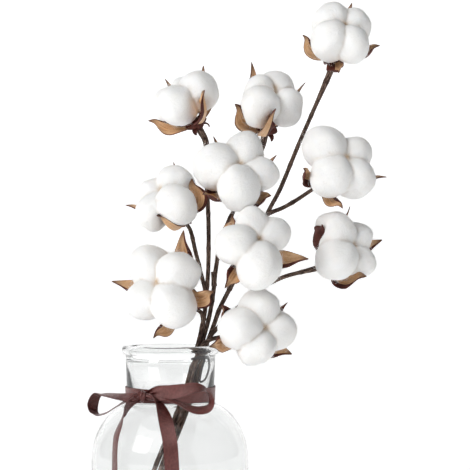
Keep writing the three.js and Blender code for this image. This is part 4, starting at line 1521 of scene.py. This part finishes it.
class BollSize(bpy.types.PropertyGroup):
    """Sizes of the lint and the burrs"""

    detail: whole("Detail", "Faces along a quarter of a lint ball", 46, 8, 90)
    furrow_softness: length("Furrow Softness", "How softly two locks run together", 1.3)
    lump_height: length("Lump Height", "Height of the broad lumps of the lint", 1.8)
    tuft_height: length("Tuft Height", "Height of the small tufts of the lint", 0.22)
    fibre_density: amount("Fibre Density", "Loose fibres on a square metre", 90000, min=0)
    fibre_length: length("Fibre Length", "Length of a loose fibre", 4.0)
    fibre_radius: length("Fibre Radius", "Radius of a loose fibre", 0.05)
    valve_hollow: amount("Valve Hollow", "Depth of a valve as a share of its width", 0.26)
    valve_curl: amount("Valve Curl", "How far the edges of a valve curl back", 0.35)


class Look(bpy.types.PropertyGroup):
    """Colours of every finish"""

    glass: tone("Glass", "Tint of the glass", (0.885, 0.893, 0.89))
    glass_clear: tone("Glass Clear", "Clearer patches of the glass", (0.9, 0.905, 0.903))
    satin: tone("Satin", "Lit colour of the ribbon", (0.125, 0.033, 0.029))
    satin_shade: tone("Satin Shade", "Deeper colour of the ribbon", (0.06, 0.014, 0.012))
    bark: tone("Bark", "Ridges of the bark", (0.17, 0.105, 0.075))
    bark_shade: tone("Bark Shade", "Grooves of the bark", (0.035, 0.019, 0.013))
    bark_worn: tone("Bark Worn", "Grey worn bark", (0.38, 0.27, 0.21))
    wire: tone("Wire", "Paper on the wire", (0.05, 0.035, 0.03))
    wire_shade: tone("Wire Shade", "Folds of the paper on the wire", (0.015, 0.01, 0.01))
    lint: tone("Lint", "Lit lint", (0.95, 0.945, 0.93))
    lint_shade: tone("Lint Shade", "Slightly greyer lint", (0.92, 0.915, 0.9))
    # The next two colours are painted shade, in the furrows and at the heart of the lint
    lint_furrow_shade: tone("Lint Furrow", "Lint down in the furrows", (0.6, 0.52, 0.44))
    lint_heart_shade: tone("Lint Heart", "Lint where the four locks meet", (0.55, 0.38, 0.22))
    husk_inner: tone("Husk Inner", "Inner face of a valve", (0.82, 0.51, 0.27))
    husk_vein: tone("Husk Vein", "Veins of the inner face", (0.56, 0.28, 0.12))
    husk_pale: tone("Husk Pale", "Pale patches of the inner face", (0.93, 0.74, 0.52))
    husk_tip: tone("Husk Tip", "Tip of a valve", (0.12, 0.055, 0.03))
    husk_outer: tone("Husk Outer", "Outer face of a valve", (0.05, 0.011, 0.008))
    husk_red: tone("Husk Red", "Redder patches of the outer face", (0.13, 0.034, 0.022))


class StageLook(bpy.types.PropertyGroup):
    """Floor, lights and camera"""

    paper: tone("Paper", "Colour of the floor and wall", (0.93, 0.93, 0.93))
    paper_glow: amount("Paper Glow", "Light that the paper gives off", 0.5, min=0)
    room: tone("Room", "Colour of the room's light", (1.0, 1.0, 1.0))
    room_strength: amount("Room Strength", "Strength of the room's light", 0.18, min=0)
    room_seen: amount("Room Seen", "Strength of the room in glass and gloss", 0.55, min=0)
    key_power: power("Key Power", "Power of the window light", 101)
    pane_power: power("Pane Power", "Power of each window pane seen in gloss", 36)
    fill_power: power("Fill Power", "Power of the fill light", 0.5)
    top_power: power("Top Power", "Power of the overhead light", 4)
    camera_angle: slant("Camera Angle", "Angle that the view takes in", 23.7135)
    camera_tilt: slant("Camera Tilt", "Angle that the camera looks up", 3.151)
    camera_at: bpy.props.FloatVectorProperty(
        name="Camera Place",
        description="Where the camera stands",
        default=(0.0544, -0.95, 0.236),
        subtype="TRANSLATION",
        unit="LENGTH",
    )


class BunchSettings(bpy.types.PropertyGroup):
    """Everything that a user may change"""

    vase: group(VaseSize, "Vase", "Sizes of the vase")
    ribbon: group(RibbonSize, "Ribbon", "Sizes of the ribbon")
    twigs: group(TwigSize, "Twigs", "Sizes of the twigs and the wire")
    bolls: group(BollSize, "Bolls", "Sizes of the lint and the burrs")
    look: group(Look, "Look", "Colours")
    stage: group(StageLook, "Stage", "Floor and lights")


# ------------------------------------------------------------------------------------------
# Operators
# ------------------------------------------------------------------------------------------


class COTTON_OT_stage(bpy.types.Operator):
    """Sets up the floor, the lights and the camera"""

    bl_idname = "cotton.stage"
    bl_label = "Stage"

    def execute(self, context):
        stage = context.scene.cotton_bunch.stage
        build_sweep(stage)
        light_room(stage)
        place_camera(stage)
        return {"FINISHED"}


class COTTON_OT_vase(bpy.types.Operator):
    """Blows the glass bottle"""

    bl_idname = "cotton.vase"
    bl_label = "Vase"

    def execute(self, context):
        settings = context.scene.cotton_bunch
        build_vase(settings.vase, glass_material(settings.look))
        return {"FINISHED"}


class COTTON_OT_ribbon(bpy.types.Operator):
    """Ties the satin bow round the neck"""

    bl_idname = "cotton.ribbon"
    bl_label = "Ribbon"

    def execute(self, context):
        settings = context.scene.cotton_bunch
        build_ribbon(settings.ribbon, settings.vase, satin_material(settings.look))
        return {"FINISHED"}


class COTTON_OT_twigs(bpy.types.Operator):
    """Grows the five twigs"""

    bl_idname = "cotton.twigs"
    bl_label = "Twigs"

    def execute(self, context):
        settings = context.scene.cotton_bunch
        build_twigs(settings.twigs, bark_material(settings.look))
        return {"FINISHED"}


class COTTON_OT_wire(bpy.types.Operator):
    """Winds the binding wire"""

    bl_idname = "cotton.wire"
    bl_label = "Wire"

    def execute(self, context):
        settings = context.scene.cotton_bunch
        build_wire(settings.twigs, wire_material(settings.look))
        return {"FINISHED"}


class COTTON_OT_bolls(bpy.types.Operator):
    """Opens the ten bolls: a burr and its lint each"""

    bl_idname = "cotton.bolls"
    bl_label = "Bolls"

    def execute(self, context):
        settings = context.scene.cotton_bunch
        husk, lint = burr_material(settings.look), lint_material(settings.look)
        rays, faces = even_ball(settings.bolls.detail)
        ball = (rays, faces, neighbour_means(faces, len(rays)))
        for boll in range(1, len(BOLLS) + 1):
            burr = build_burr(boll, settings.bolls, husk)
            build_lint(boll, settings.bolls, ball, burr, lint)
        return {"FINISHED"}


class COTTON_PT_bunch(bpy.types.Panel):
    """Lists the pieces of the bunch"""

    bl_idname = "COTTON_PT_bunch"
    bl_label = "Cotton Stem Bunch"
    bl_space_type = "VIEW_3D"
    bl_region_type = "UI"
    bl_category = "Cotton"

    def draw(self, context):
        for operator in OPERATORS:
            self.layout.operator(operator.bl_idname)


OPERATORS = (
    COTTON_OT_stage,
    COTTON_OT_vase,
    COTTON_OT_ribbon,
    COTTON_OT_twigs,
    COTTON_OT_wire,
    COTTON_OT_bolls,
)
GROUPS = (VaseSize, RibbonSize, TwigSize, BollSize, Look, StageLook, BunchSettings)
CLASSES = (*GROUPS, *OPERATORS, COTTON_PT_bunch)


def register():
    for made in CLASSES:
        bpy.utils.register_class(made)
    bpy.types.Scene.cotton_bunch = bpy.props.PointerProperty(type=BunchSettings)


def unregister():
    del bpy.types.Scene.cotton_bunch
    for made in reversed(CLASSES):
        bpy.utils.unregister_class(made)


def main():
    """Builds every piece."""
    register()
    for operator in OPERATORS:
        section, name = operator.bl_idname.split(".")
        getattr(getattr(bpy.ops, section), name)()


if __name__ == "__main__":
    main()
